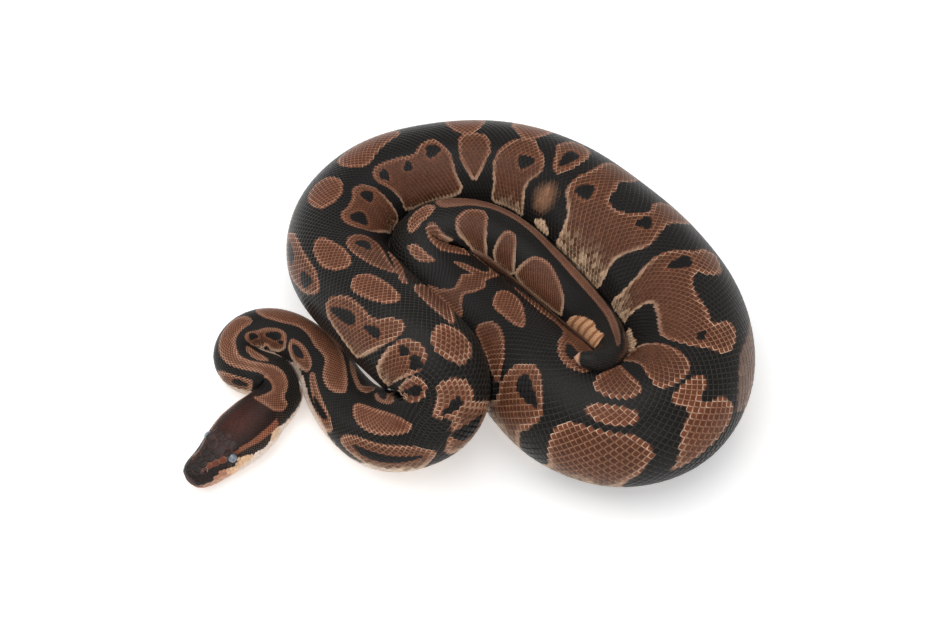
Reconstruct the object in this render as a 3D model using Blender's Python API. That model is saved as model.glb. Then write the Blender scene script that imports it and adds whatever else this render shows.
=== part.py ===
"""Ball python lying coiled, life size and still: head, jaw, eyes and the body in a few lengths."""
import bpy
import bmesh
import numpy as np
from math import atan2, cos, pi, radians
from mathutils import Matrix, Vector

MM = 0.001

# The body's route from snout to tail tip: x, y, height of the axis and half width, in mm
ROUTE = [
    # head and neck, folded back on itself
    (-140.9, -99.1, 9.0, 9.0),
    (-122.4, -82.1, 11.0, 14.0),
    (-104.9, -62.1, 11.5, 12.6),
    (-96.9, -51.1, 10.8, 11.9),
    (-98.9, -40.1, 10.8, 11.9),
    (-110.9, -36.6, 11.0, 12.9),
    (-119.4, -29.6, 11.2, 13.1),
    (-117.9, -18.1, 11.3, 13.0),
    (-108.9, -12.1, 11.7, 13.2),
    (-96.9, -14.1, 12.1, 13.7),
    (-84.9, -23.1, 12.7, 14.2),
    (-74.9, -36.1, 13.6, 15.1),
    (-66.9, -52.1, 14.9, 16.8),
    # first loop, its second limb lifted on the coil beside it
    (-56.7, -66.5, 16.8, 18.8),
    (-41.9, -77.1, 20.5, 21.4),
    (-26.9, -77.1, 27.0, 23.2),
    (-15.9, -71.1, 37.0, 25.0),
    (-16.9, -58.1, 45.0, 26.0),
    (-30.9, -40.1, 46.0, 26.6),
    (-50.9, -14.1, 40.0, 26.8),
    # the great coil, clockwise round the outside
    (-67.9, 17.9, 32.0, 27.0),
    (-65.9, 48.9, 27.0, 27.5),
    (-46.9, 71.9, 25.8, 28.0),
    (-13.9, 81.9, 26.0, 28.7),
    (18.1, 79.9, 27.0, 29.7),
    (46.1, 65.9, 28.2, 31.0),
    (70.1, 41.9, 29.5, 32.5),
    (92.1, 13.9, 30.5, 33.5),
    (107.1, -17.1, 31.0, 34.0),
    (108.6, -48.6, 31.0, 34.0),
    (95.6, -71.1, 31.0, 34.0),
    (73.1, -78.1, 30.5, 33.5),
    (51.1, -70.1, 29.5, 32.5),
    # the inner coil, then its narrow turn
    (35.1, -54.1, 27.9, 30.6),
    (21.1, -32.1, 25.0, 27.5),
    (4.1, -11.1, 23.0, 25.0),
    (-11.9, 7.9, 24.0, 23.0),
    (-21.9, 21.9, 28.0, 21.7),
    (-20.9, 32.9, 31.0, 20.0),
    (-11.9, 36.9, 34.0, 18.0),
    (3.1, 36.9, 34.0, 17.0),
    # the tail, wedged between both coils and hooked over the lower one
    (19.1, 29.9, 33.0, 15.8),
    (37.1, 13.9, 31.0, 14.5),
    (53.1, -4.6, 30.0, 13.5),
    (63.1, -20.1, 33.0, 12.0),
    (68.1, -37.6, 43.0, 10.0),
    (69.1, -55.1, 55.0, 7.2),
    (61.1, -64.1, 63.0, 5.4),
    (54.1, -63.1, 64.0, 3.8),
    (50.1, -62.1, 63.5, 2.4),
]

# Head sections: distance from the snout tip, half width, top, underside (mm) and squareness
HEAD_SECTIONS = [
    (0.0, 0.6, 8.0, 7.4, 2.0),
    (0.6, 3.6, 10.6, 4.8, 2.1),
    (2.0, 6.0, 12.2, 3.0, 2.2),
    (5.0, 8.0, 13.8, 1.4, 2.3),
    (10.0, 9.6, 15.6, 0.2, 2.4),
    (16.0, 11.0, 17.6, -0.3, 2.4),
    (22.0, 12.4, 19.4, -0.5, 2.3),
    (30.0, 14.2, 21.0, -0.5, 2.2),
    (38.0, 15.2, 22.0, -0.5, 2.1),
    (46.0, 14.8, 22.6, -0.5, 2.0),
    (54.0, 13.0, 22.8, -0.5, 2.0),
    (64.0, 12.0, 22.2, -0.4, 2.0),
]
HEAD_BLEND = (54.0, 64.0)      # where the head's sections give way to the body's

BODY_FLATTENING = 0.93         # height of a body section over its width
TIP_ROUNDING = 4.0 * MM        # length of the tail's rounded end
UNPRESSED = 48.0               # mm of head and nape that no other length dents
REST_DEPTH = 0.5 * MM          # what lies this near the floor is pressed flat on it
CONTACT_GAP = 0.5 * MM         # between lengths that lie against each other
CUT_GAP = 0.3 * MM             # thin cut between neighbouring lengths

# Names of the lengths, how many of each, where they end (mm from the snout) and their sides
HEAD_END = 46.0
LENGTHS = [
    ("neck", 4, 180.0, 20),
    ("trunk", 3, 300.0, 24),
    ("trunk", 7, 740.0, 24),
    ("trunk", 2, 830.0, 24),
    ("trunk", 3, 948.0, 22),
    ("tail", 2, 1006.0, 18),
    ("tail_tip", 1, None, 16),
]

HEAD_SIDES = 26
HEAD_RING_STEP = 2.5           # mm
LONGEST_RING_STEP = 12.0       # mm, on the straighter lengths
TURN_PER_RING = 12.0           # degrees, on the tighter bends

# Mouth: a thin cut under the upper lip, rising towards the corner of the jaw
MOUTH_HEIGHT = 5.4 * MM        # at the snout
MOUTH_LENGTH = 38.0 * MM
MOUTH_RISE = radians(3.0)
MOUTH_GAP = 0.3 * MM

EYE_RADIUS = 2.9 * MM
EYE_DEPTH = 1.4 * MM           # centre below the skin
EYE_STATION = 22.4             # mm from the snout
EYE_ANGLE = 46.0               # degrees from the crown to either side
SOCKET_GAP = 0.3 * MM

SKIN_BROWN = (0.10, 0.055, 0.035)
SKIN_BLACK = (0.018, 0.015, 0.014)
LIP_CREAM = (0.62, 0.47, 0.36)
EYE_GREY = (0.10, 0.12, 0.15)


# ---------------------------------------------------------------- the axis

def smooth_curve(points, steps):
    """Catmull-Rom curve through points, whose first three columns are the place."""
    span = np.sqrt(np.linalg.norm(np.diff(points[:, :3], axis=0), axis=1))
    t = np.concatenate([[0.0], np.cumsum(span)])
    slope = np.zeros_like(points)
    rate = np.diff(points, axis=0) / np.diff(t)[:, None]
    before, after = np.diff(t)[:-1, None], np.diff(t)[1:, None]
    slope[1:-1] = (rate[:-1] * after + rate[1:] * before) / (before + after)
    slope[0], slope[-1] = rate[0], rate[-1]
    u = np.linspace(0.0, 1.0, steps, endpoint=False)[:, None]
    pieces = []
    for i, width in enumerate(np.diff(t)):
        pieces.append((2 * u**3 - 3 * u**2 + 1) * points[i]
                      + (u**3 - 2 * u**2 + u) * width * slope[i]
                      + (3 * u**2 - 2 * u**3) * points[i + 1]
                      + (u**3 - u**2) * width * slope[i + 1])
    return np.concatenate(pieces + [points[-1:]])


def distances(points):
    steps = np.linalg.norm(np.diff(points[:, :3], axis=0), axis=1)
    return np.concatenate([[0.0], np.cumsum(steps)])


def resample(points, step):
    along = distances(points)
    places = np.linspace(0.0, along[-1], int(round(along[-1] / step)) + 1)
    return columns_at(places, along, points)


def columns_at(places, along, table):
    return np.stack([np.interp(places, along, column) for column in table.T], -1)


def soften(points, rounds):
    points = points.copy()
    for _ in range(rounds):
        points[1:-1] = (points[:-2] + 2 * points[1:-1] + points[2:]) / 4
    return points


def body_axis():
    """Even points on the body's axis: x, y, z and half width, in mm."""
    curve = resample(smooth_curve(np.array(ROUTE), 24), 2.0)
    return resample(soften(curve, 6), 2.0)


def axis_frames(axis):
    """Direction, left side and back of the body at each axis point."""
    forward = np.gradient(axis[:, :3], axis=0)
    forward /= np.linalg.norm(forward, axis=1)[:, None]
    left = np.stack([-forward[:, 1], forward[:, 0], np.zeros(len(axis))], -1)
    left /= np.linalg.norm(left, axis=1)[:, None]
    return forward, left, np.cross(forward, left)


# ---------------------------------------------------------------- the sections

def eased(x, stations, values):
    """Smooth curve through the stations without overshoot."""
    rate = np.diff(values) / np.diff(stations)
    slope = np.zeros_like(values)
    same_way = rate[:-1] * rate[1:] > 0
    slope[1:-1] = np.where(same_way, 2 * rate[:-1] * rate[1:] / (rate[:-1] + rate[1:] + 1e-12), 0.0)
    slope[0], slope[-1] = rate[0], rate[-1]
    i = np.clip(np.searchsorted(stations, x) - 1, 0, len(stations) - 2)
    width = stations[i + 1] - stations[i]
    u = np.clip((x - stations[i]) / width, 0.0, 1.0)
    return ((2 * u**3 - 3 * u**2 + 1) * values[i] + (u**3 - 2 * u**2 + u) * width * slope[i]
            + (3 * u**2 - 2 * u**3) * values[i + 1] + (u**3 - u**2) * width * slope[i + 1])


def section_sizes(stations, height, half_width):
    """Half width, top, underside and squareness of the sections at the stations."""
    head = np.array(HEAD_SECTIONS)
    blend = np.clip((stations - HEAD_BLEND[0]) / (HEAD_BLEND[1] - HEAD_BLEND[0]), 0.0, 1.0)
    blend = blend * blend * (3 - 2 * blend)
    rise = half_width * BODY_FLATTENING
    body = (half_width, height + rise, height - rise, np.full(len(stations), 2.0))
    sizes = []
    for column, value in enumerate(body, start=1):
        sizes.append(eased(stations, head[:, 0], head[:, column]) * (1 - blend) + value * blend)
    return sizes


def rounded_power(value, power):
    return np.sign(value) * np.abs(value) ** power


def body_rings(stations, sides, axis):
    """One ring of points for each station, in mm, pressed by its neighbours and the floor."""
    along = distances(axis)
    forward, left, back = axis_frames(axis)
    place = columns_at(stations, along, axis)
    left = columns_at(stations, along, left)
    back = columns_at(stations, along, back)
    centre, half_width = place[:, :3], place[:, 3]
    rounding = np.clip((stations - along[-1] + TIP_ROUNDING / MM) / (TIP_ROUNDING / MM), 0.0, 0.97)
    half_width = half_width * np.sqrt(1 - rounding**2)
    wide, top, underside, squareness = section_sizes(stations, centre[:, 2], half_width)
    angle = (np.arange(sides) + 0.5) * 2 * pi / sides
    power = 2 / squareness[:, None]
    outward = 1 / np.sqrt(cos(pi / sides))          # facets straddle the true surface
    across = wide[:, None] * rounded_power(np.sin(angle), power) * outward
    tall = (top - underside)[:, None] / 2 * rounded_power(np.cos(angle), power) * outward
    up = tall + ((top + underside) / 2 - centre[:, 2])[:, None]
    points = (centre[:, None] + across[..., None] * left[:, None] + up[..., None] * back[:, None])
    return pressed(points, centre, half_width, stations, axis)


def resting(points):
    """Press what comes near the floor flat on it."""
    points[..., 2] = np.where(points[..., 2] < REST_DEPTH / MM, 0.0, points[..., 2])
    return points


def pressed(points, centre, half_width, stations, axis):
    """Draw points back to the plane that each ring shares with every length it lies against."""
    along = distances(axis)
    flatten = np.array([1, 1, 1 / BODY_FLATTENING])
    body = along > UNPRESSED
    others, radii, where = axis[body, :3] * flatten, axis[body, 3], along[body]
    result = points.copy()
    for i, station in enumerate(stations):
        middle, reach = centre[i] * flatten, half_width[i]
        apart = np.abs(where - station)
        spread = np.linalg.norm(others - middle, axis=1)
        clear = 0.25 * reach + (40.0 if station <= UNPRESSED else 0.0)
        near = (apart > clear) & (spread < radii + reach + 3.0)
        if not near.any():
            continue
        other_length = np.clip((apart[near] - 0.7 * reach) / reach, 0.0, 1.0)
        gap = (CUT_GAP + (CONTACT_GAP - CUT_GAP) * other_length) / MM / 2
        radius = reach + (radii[near] - reach) * other_length
        room = spread[near]**2 - radius**2 + reach**2 - 2 * spread[near] * gap
        ray = points[i] * flatten - middle
        closing = np.maximum(2 * ray @ (others[near] - middle).T, 1e-9)
        share = np.clip(room / closing, 0.02, 1.0).min(axis=1)
        result[i] = (middle + ray * share[:, None]) / flatten
    return result


# ---------------------------------------------------------------- building

def clear_scene():
    for item in list(bpy.data.objects):
        bpy.data.objects.remove(item, do_unlink=True)


def make_collection(name):
    collection = bpy.data.collections.new(name)
    bpy.context.scene.collection.children.link(collection)
    return collection


def make_material(name, colour, roughness):
    material = bpy.data.materials.new(name)
    material.use_nodes = True
    shader = material.node_tree.nodes["Principled BSDF"]
    shader.inputs["Base Color"].default_value = (*colour, 1.0)
    shader.inputs["Roughness"].default_value = roughness
    shader.inputs["Metallic"].default_value = 0.0
    material.diffuse_color = (*colour, 1.0)
    return material


def finish_object(name, shape, collection, colour, roughness):
    shape.shade_smooth()
    shape.set_sharp_from_angle(angle=radians(40))
    piece = bpy.data.objects.new(name, shape)
    collection.objects.link(piece)
    piece.data.materials.append(make_material(name + "_skin", colour, roughness))
    return piece


def loft(name, rings):
    """Closed mesh over rings of points given in mm."""
    mesh = bmesh.new()
    loops = [[mesh.verts.new(Vector(point) * MM) for point in ring] for ring in rings]
    sides = len(rings[0])
    for first, second in zip(loops, loops[1:]):
        for k in range(sides):
            mesh.faces.new((first[k], first[(k + 1) % sides], second[(k + 1) % sides], second[k]))
    mesh.faces.new(loops[0][::-1])
    mesh.faces.new(loops[-1])
    bmesh.ops.triangulate(mesh, faces=mesh.faces[:])
    bmesh.ops.recalc_face_normals(mesh, faces=mesh.faces[:])
    shape = bpy.data.meshes.new(name)
    mesh.to_mesh(shape)
    mesh.free()
    return shape


def ring_stations(start, end, axis):
    """Stations from start to end, closer together where the body bends sharply."""
    along = distances(axis)
    forward = axis_frames(axis)[0]
    turn = np.degrees(np.linalg.norm(np.gradient(forward, along, axis=0), axis=1))
    fill = np.maximum(1 / LONGEST_RING_STEP, turn / TURN_PER_RING)
    rings = np.concatenate([[0.0], np.cumsum((fill[:-1] + fill[1:]) / 2 * np.diff(along))])
    first, last = np.interp([start, end], along, rings)
    count = max(2, int(np.ceil(last - first)) + 1)
    return np.interp(np.linspace(first, last, count), rings, along)


def length_rings(stations, sides, axis, cut_at_start, cut_at_end):
    """The rings of one length, its ends drawn back along the body by half the cut."""
    rings = body_rings(stations, sides, axis)
    forward = columns_at(stations, distances(axis), axis_frames(axis)[0])
    if cut_at_start:
        rings[0] += forward[0] * CUT_GAP / MM / 2
    if cut_at_end:
        rings[-1] -= forward[-1] * CUT_GAP / MM / 2
    return resting(rings)


def body_length(name, start, end, last, sides, axis, collection):
    stations = ring_stations(start, end, axis)
    rings = length_rings(stations, sides, axis, True, not last)
    return finish_object(name, loft(name, rings), collection, SKIN_BROWN, 0.35)


def body_lengths(axis, collection):
    start = HEAD_END
    numbers = {}
    for kind, count, limit, sides in LENGTHS:
        last = limit is None
        limit = distances(axis)[-1] if last else limit
        for k in range(count):
            numbers[kind] = numbers.get(kind, 0) + 1
            name = kind if last else "%s_%d" % (kind, numbers[kind])
            end = start + (limit - start) / (count - k)
            body_length(name, start, end, last, sides, axis, collection)
            start = end


def head_rings(axis):
    count = int(round(HEAD_END / HEAD_RING_STEP))
    close = np.array([section[0] for section in HEAD_SECTIONS if section[0] < 5.0])
    stations = np.concatenate([close, np.linspace(5.0, HEAD_END, count - 1)])
    return length_rings(stations, HEAD_SIDES, axis, False, True)


def as_cutter(piece, cutters):
    for collection in list(piece.users_collection):
        collection.objects.unlink(piece)
    cutters.objects.link(piece)
    piece.hide_render = True
    piece.display_type = "WIRE"
    return piece


def cut(piece, cutter, operation):
    change = piece.modifiers.new(operation.lower(), "BOOLEAN")
    change.operation = operation
    change.solver = "EXACT"
    change.object = cutter


def mouth_block(name, lift, reach, axis, cutters):
    """Block of space under the mouth line, from ahead of the snout to the corner of the jaw."""
    snout, corner = columns_at(np.array([0.0, MOUTH_LENGTH / MM]), distances(axis), axis[:, :3])
    ahead = 20 * MM
    size = (reach + ahead, 80 * MM, 40 * MM)
    bpy.ops.mesh.primitive_cube_add(size=1.0)
    block = bpy.context.object
    block.name = name
    block.data.transform(Matrix.Translation(((reach - ahead) / 2, 0.0, -size[2] / 2))
                         @ Matrix.Diagonal((*size, 1.0)))
    block.location = (snout[0] * MM, snout[1] * MM, MOUTH_HEIGHT + lift)
    block.rotation_euler = (0.0, -MOUTH_RISE, atan2(corner[1] - snout[1], corner[0] - snout[0]))
    return as_cutter(block, cutters)


def eye_centre(side, axis):
    """A little under the skin at the eye's station, on the left (1) or right (-1)."""
    stations = EYE_STATION + np.array([-1.0, 0.0, 1.0])
    rings = body_rings(stations, 360, axis)
    k = int(side * EYE_ANGLE) % 360
    around = rings[1, (k + 2) % 360] - rings[1, k - 2]
    outward = np.cross(around, rings[2, k] - rings[0, k])
    outward /= np.linalg.norm(outward)
    outward *= np.sign(outward[2])
    return Vector(rings[1, k] * MM - outward * EYE_DEPTH)


def ball(name, radius, centre, segments):
    bpy.ops.mesh.primitive_uv_sphere_add(segments=segments, ring_count=segments * 5 // 8,
                                         radius=radius, location=centre)
    piece = bpy.context.object
    piece.name = name
    return piece


def add_eye(name, side, head, axis, collection, cutters):
    centre = eye_centre(side, axis)
    socket = ball(name + "_socket", EYE_RADIUS + SOCKET_GAP, centre, 16)
    cut(head, as_cutter(socket, cutters), "DIFFERENCE")
    eye = ball(name, EYE_RADIUS, centre, 16)
    for owner in list(eye.users_collection):
        owner.objects.unlink(eye)
    collection.objects.link(eye)
    eye.data.shade_smooth()
    eye.data.materials.append(make_material(name + "_cornea", EYE_GREY, 0.08))


def add_head(axis, collection, cutters):
    rings = head_rings(axis)
    head = finish_object("head", loft("head", rings), collection, SKIN_BLACK, 0.32)
    jaw = finish_object("lower_jaw", loft("lower_jaw", rings), collection, LIP_CREAM, 0.4)
    above = mouth_block("mouth_above", MOUTH_GAP, MOUTH_LENGTH + MOUTH_GAP, axis, cutters)
    below = mouth_block("mouth_below", 0.0, MOUTH_LENGTH, axis, cutters)
    cut(head, above, "DIFFERENCE")
    cut(jaw, below, "INTERSECT")
    add_eye("eye_left", 1, head, axis, collection, cutters)
    add_eye("eye_right", -1, head, axis, collection, cutters)


def build():
    clear_scene()
    collection = make_collection("ball_python")
    cutters = make_collection("cutters")
    axis = body_axis()
    add_head(axis, collection, cutters)
    body_lengths(axis, collection)


build()
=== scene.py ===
import bpy
import numpy as np
from math import cos, pi, radians, sin
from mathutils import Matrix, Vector
from mathutils.bvhtree import BVHTree
from mathutils.kdtree import KDTree


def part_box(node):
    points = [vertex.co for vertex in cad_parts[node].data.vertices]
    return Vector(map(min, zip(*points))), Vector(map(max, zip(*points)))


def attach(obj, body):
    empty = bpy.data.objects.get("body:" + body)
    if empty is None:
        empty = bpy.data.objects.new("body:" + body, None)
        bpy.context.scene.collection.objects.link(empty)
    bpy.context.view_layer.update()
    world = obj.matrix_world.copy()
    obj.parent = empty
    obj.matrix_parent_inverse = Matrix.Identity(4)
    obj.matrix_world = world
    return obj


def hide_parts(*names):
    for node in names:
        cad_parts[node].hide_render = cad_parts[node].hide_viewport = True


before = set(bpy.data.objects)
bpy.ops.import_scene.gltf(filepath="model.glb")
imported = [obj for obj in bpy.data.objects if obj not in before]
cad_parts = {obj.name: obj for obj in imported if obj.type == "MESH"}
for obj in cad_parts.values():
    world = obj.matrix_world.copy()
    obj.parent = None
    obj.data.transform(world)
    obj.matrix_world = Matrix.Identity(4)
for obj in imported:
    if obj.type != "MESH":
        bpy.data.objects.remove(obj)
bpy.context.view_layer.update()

mm = 0.001
randomSeeds = {"skin": 3, "plates": 5, "plateTones": 9, "scales": 21, "smudges": 31}
print("frame loaded:", len(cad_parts), "nodes")


def paint(red, green, blue):
    # screen colour of 0 to 255 as the linear light that shaders take
    c = np.array((red, green, blue)) / 255.0
    return np.where(c <= 0.04045, c / 12.92, ((c + 0.055) / 1.055) ** 2.4)


def addObject(name, data):
    made = bpy.data.objects.new(name, data)
    bpy.context.scene.collection.objects.link(made)
    return made


def fillNode(tree, node, values):
    # each input takes another node's output or a plain value
    for name, value in values.items():
        if isinstance(value, bpy.types.NodeSocket):
            tree.links.new(value, node.inputs[name])
        else:
            node.inputs[name].default_value = value
    return node


def addNode(tree, kind, values=None, out=0, **settings):
    # a new node, and the one output of it that is wanted
    node = tree.nodes.new(kind)
    for name, value in settings.items():
        setattr(node, name, value)
    return fillNode(tree, node, values or {}).outputs[out]


def mathNode(tree, operation, first, second):
    return addNode(tree, "ShaderNodeMath", {0: first, 1: second}, operation=operation)


def remap(tree, value, low, high, toLow, toHigh):
    return addNode(tree, "ShaderNodeMapRange", {"Value": value, "From Min": low, "From Max": high,
                                                "To Min": toLow, "To Max": toHigh}, "Result")


def newMaterial(name):
    material = bpy.data.materials.new(name)
    material.use_nodes = True
    return material, material.node_tree, material.node_tree.nodes["Principled BSDF"]


# ---- stage, light and camera come first

studio = {
    "floor": (0.88, 0.88, 0.875, 1),
    "floorSize": 8.0,
    "floorGlow": 0.3,           # as a lit table, so the shadows stay soft
    "shadeMiddle": (0.025, 0.02, 0.0),
    "shadeReach": (0.05, 0.08),         # between the coils the floor doesn't glow
    "worldGlow": 0.55,
    "lookAt": (-0.0009, 0.0089, 0.0),
    "distance": 1.17,
    "elevation": 55.0,
    "lens": 85.0,
    "sensor": 36.0,
    "lamps": {                  # place, aim, size and power
        "overheadSoftbox": ((-0.2, 0.0, 1.5), (0, 0, 0), (1.5, 1.3), 13.0),
        "frontFill": ((0.5, -1.4, 1.1), (0, 0, 0), (1.2, 0.8), 4.0),
        "sideStrip": ((-1.3, 0.1, 0.9), (0, 0, 0.03), (0.5, 1.2), 3.0),
    },
}


def makeCamera():
    lens = bpy.data.cameras.new("camera")
    lens.lens, lens.sensor_width = studio["lens"], studio["sensor"]
    camera = addObject("camera", lens)
    rise = radians(studio["elevation"])
    back = Vector((0.0, -cos(rise), sin(rise)))
    camera.location = Vector(studio["lookAt"]) + back * studio["distance"]
    camera.rotation_euler = (pi / 2 - rise, 0.0, 0.0)
    bpy.context.scene.camera = camera


def makeLamp(name, place, aim, size, power):
    lamp = bpy.data.lights.new(name, "AREA")
    lamp.shape = "RECTANGLE"
    lamp.size, lamp.size_y = size
    lamp.energy = power
    light = addObject(name, lamp)
    light.location = place
    light.rotation_euler = (Vector(aim) - Vector(place)).to_track_quat("-Z", "Y").to_euler()


def makeWorld():
    world = bpy.data.worlds.new("studioWorld")
    world.use_nodes = True
    fillNode(world.node_tree, world.node_tree.nodes["Background"],
             {"Color": (1, 1, 1, 1), "Strength": studio["worldGlow"]})
    bpy.context.scene.world = world
    bpy.context.scene.view_settings.view_transform = "Standard"     # plain colours, white stays white


def makeFloor():
    bpy.ops.mesh.primitive_plane_add(size=studio["floorSize"])
    floor = bpy.context.object
    floor.name = "floor"
    material, tree, shader = newMaterial("paleFloor")
    place = addNode(tree, "ShaderNodeTexCoord", out="Object")
    apart = addNode(tree, "ShaderNodeVectorMath", {0: place, 1: studio["shadeMiddle"]}, "Value",
                    operation="DISTANCE")
    glow = remap(tree, apart, *studio["shadeReach"], 0.0, studio["floorGlow"])
    fillNode(tree, shader, {"Base Color": studio["floor"], "Roughness": 0.9, "Specular IOR Level": 0.1,
                            "Emission Color": (1, 1, 1, 1), "Emission Strength": glow})
    floor.data.materials.append(material)


makeCamera()
for lampName, lampValues in studio["lamps"].items():
    makeLamp(lampName, *lampValues)
makeWorld()
makeFloor()
print("studio ready")
print("studio ready")

# ---- the body's route: x, y, axis height, half width (mm) and roll of the back to its left (degrees)

body = {
    "route": [
        # head and neck
        (-140.9, -99.1, 9.0, 9.0, 0), (-122.4, -82.1, 11.0, 14.0, 0), (-104.9, -62.1, 11.5, 12.6, -6),
        (-96.9, -51.1, 10.8, 11.9, -8), (-98.9, -40.1, 10.8, 11.9, -4), (-110.9, -36.6, 11.0, 12.9, 8),
        (-119.4, -29.6, 11.2, 13.1, 22), (-117.9, -18.1, 11.3, 13.0, 24), (-108.9, -12.1, 11.7, 13.2, 14),
        (-96.9, -14.1, 12.1, 13.7, 12), (-84.9, -23.1, 12.7, 14.2, 20), (-74.9, -36.1, 13.6, 15.1, 12),
        (-66.9, -52.1, 14.9, 16.8, -3),
        # first loop, its second limb lifted on the coil beside it
        (-56.7, -66.5, 16.8, 18.8, -8), (-41.9, -77.1, 20.5, 21.4, -15), (-26.9, -77.1, 27.0, 23.2, -21),
        (-15.9, -71.1, 37.0, 25.0, -27), (-16.9, -58.1, 45.0, 26.0, -22), (-30.9, -40.1, 46.0, 26.6, -16),
        (-50.9, -14.1, 40.0, 26.8, 0),
        # the great coil
        (-67.9, 17.9, 32.0, 27.0, 14), (-65.9, 48.9, 27.0, 27.5, 18), (-46.9, 71.9, 25.8, 28.0, 20),
        (-13.9, 81.9, 26.0, 28.7, 28), (18.1, 79.9, 27.0, 29.7, 33), (46.1, 65.9, 28.2, 31.0, 37),
        (70.1, 41.9, 29.5, 32.5, 42), (92.1, 13.9, 30.5, 33.5, 46), (107.1, -17.1, 31.0, 34.0, 42),
        (108.6, -48.6, 31.0, 34.0, 32), (95.6, -71.1, 31.0, 34.0, 26), (73.1, -78.1, 30.5, 33.5, 26),
        (51.1, -70.1, 29.5, 32.5, 20),
        # the inner coil and its narrow turn
        (35.1, -54.1, 27.9, 30.6, 5), (21.1, -32.1, 25.0, 27.5, -12), (4.1, -11.1, 23.0, 25.0, -14),
        (-11.9, 7.9, 24.0, 23.0, -5), (-21.9, 21.9, 28.0, 21.7, 12), (-20.9, 32.9, 31.0, 20.0, 20),
        (-11.9, 36.9, 34.0, 18.0, 30), (3.1, 36.9, 34.0, 17.0, 38),
        # the tail, hooked over the lower coil
        (19.1, 29.9, 33.0, 15.8, 35), (37.1, 13.9, 31.0, 14.5, 30), (53.1, -4.6, 30.0, 13.5, 28),
        (63.1, -20.1, 33.0, 12.0, 28), (68.1, -37.6, 43.0, 10.0, 27), (69.1, -55.1, 55.0, 7.2, 20),
        (61.1, -64.1, 63.0, 5.4, 15), (54.1, -63.1, 64.0, 3.8, 10), (50.1, -62.1, 63.5, 2.4, 10),
    ],
    "flattening": 0.93,
    "tipRounding": 4.0,
    "seamGap": 0.3,             # where two lengths join
    "contactGap": 0.5,          # where they only lie against each other
    "unpressed": 48.0,          # the head presses on nothing
    "neckReach": 40.0,          # and isn't pressed by what is this near along the body
}

head = {
    # distance from the snout, half width, top, underside (mm) and squareness
    "sections": [
        (0.0, 0.6, 8.0, 7.4, 2.0), (0.6, 3.6, 10.6, 4.8, 2.1), (2.0, 6.0, 12.2, 3.0, 2.2),
        (5.0, 8.0, 13.8, 1.4, 2.3), (10.0, 9.6, 15.6, 0.2, 2.4), (16.0, 11.0, 17.6, -0.3, 2.4),
        (22.0, 12.4, 19.4, -0.5, 2.3), (30.0, 14.2, 21.0, -0.5, 2.2), (38.0, 15.2, 22.0, -0.5, 2.1),
        (46.0, 14.8, 22.6, -0.5, 2.0), (54.0, 13.0, 22.8, -0.5, 2.0), (64.0, 12.0, 22.2, -0.4, 2.0),
    ],
    "blend": (54.0, 64.0),
    "end": 60.0,                # where the head's fine skin gives way to the body's
    "mouthHeight": 5.4,
    "mouthLength": 38.0,
    "mouthRise": radians(3.0),
}


def softStep(low, high, value):
    u = np.clip((value - low) / (high - low), 0.0, 1.0)
    return u * u * (3 - 2 * u)


def hermite(u, width, first, second, firstSlope, secondSlope):
    return ((2 * u**3 - 3 * u**2 + 1) * first + (u**3 - 2 * u**2 + u) * width * firstSlope
            + (3 * u**2 - 2 * u**3) * second + (u**3 - u**2) * width * secondSlope)


def smoothCurve(points, steps):
    # Catmull-Rom curve through the route
    span = np.sqrt(np.linalg.norm(np.diff(points[:, :3], axis=0), axis=1))
    t = np.concatenate([[0.0], np.cumsum(span)])
    slope = np.zeros_like(points)
    rate = np.diff(points, axis=0) / np.diff(t)[:, None]
    before, after = np.diff(t)[:-1, None], np.diff(t)[1:, None]
    slope[1:-1] = (rate[:-1] * after + rate[1:] * before) / (before + after)
    slope[0], slope[-1] = rate[0], rate[-1]
    u = np.linspace(0.0, 1.0, steps, endpoint=False)[:, None]
    made = [hermite(u, width, points[i], points[i + 1], slope[i], slope[i + 1])
            for i, width in enumerate(np.diff(t))]
    return np.concatenate(made + [points[-1:]])


def distances(points):
    return np.concatenate([[0.0], np.cumsum(np.linalg.norm(np.diff(points[:, :3], axis=0), axis=1))])


def columnsAt(places, along, table):
    return np.stack([np.interp(places, along, column) for column in table.T], -1)


def resample(points, step):
    along = distances(points)
    return columnsAt(np.linspace(0.0, along[-1], int(round(along[-1] / step)) + 1), along, points)


def soften(points, rounds):
    points = points.copy()
    for _ in range(rounds):
        points[1:-1] = (points[:-2] + 2 * points[1:-1] + points[2:]) / 4
    return points


def eased(x, stations, values):
    # smooth curve through the stations without overshoot
    rate = np.diff(values) / np.diff(stations)
    slope = np.zeros_like(values)
    sameWay = rate[:-1] * rate[1:] > 0
    slope[1:-1] = np.where(sameWay, 2 * rate[:-1] * rate[1:] / (rate[:-1] + rate[1:] + 1e-12), 0.0)
    slope[0], slope[-1] = rate[0], rate[-1]
    i = np.clip(np.searchsorted(stations, x) - 1, 0, len(stations) - 2)
    width = stations[i + 1] - stations[i]
    u = np.clip((x - stations[i]) / width, 0.0, 1.0)
    return hermite(u, width, values[i], values[i + 1], slope[i], slope[i + 1])


axis = resample(soften(resample(smoothCurve(np.array(body["route"], float), 24), 2.0), 6), 2.0)
along = distances(axis)
bodyEnd = along[-1]
forwardWay = np.gradient(axis[:, :3], axis=0)
forwardWay /= np.linalg.norm(forwardWay, axis=1)[:, None]
leftWay = np.stack([-forwardWay[:, 1], forwardWay[:, 0], np.zeros(len(axis))], -1)
leftWay /= np.linalg.norm(leftWay, axis=1)[:, None]
backWay = np.cross(forwardWay, leftWay)


def rollAt(stations):
    return np.interp(stations, along, axis[:, 4])


def halfWidthAt(stations):
    return np.interp(stations, along, axis[:, 3])


def headWidthAt(places):
    return np.interp(places, *np.array(head["sections"])[:, :2].T)


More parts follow.
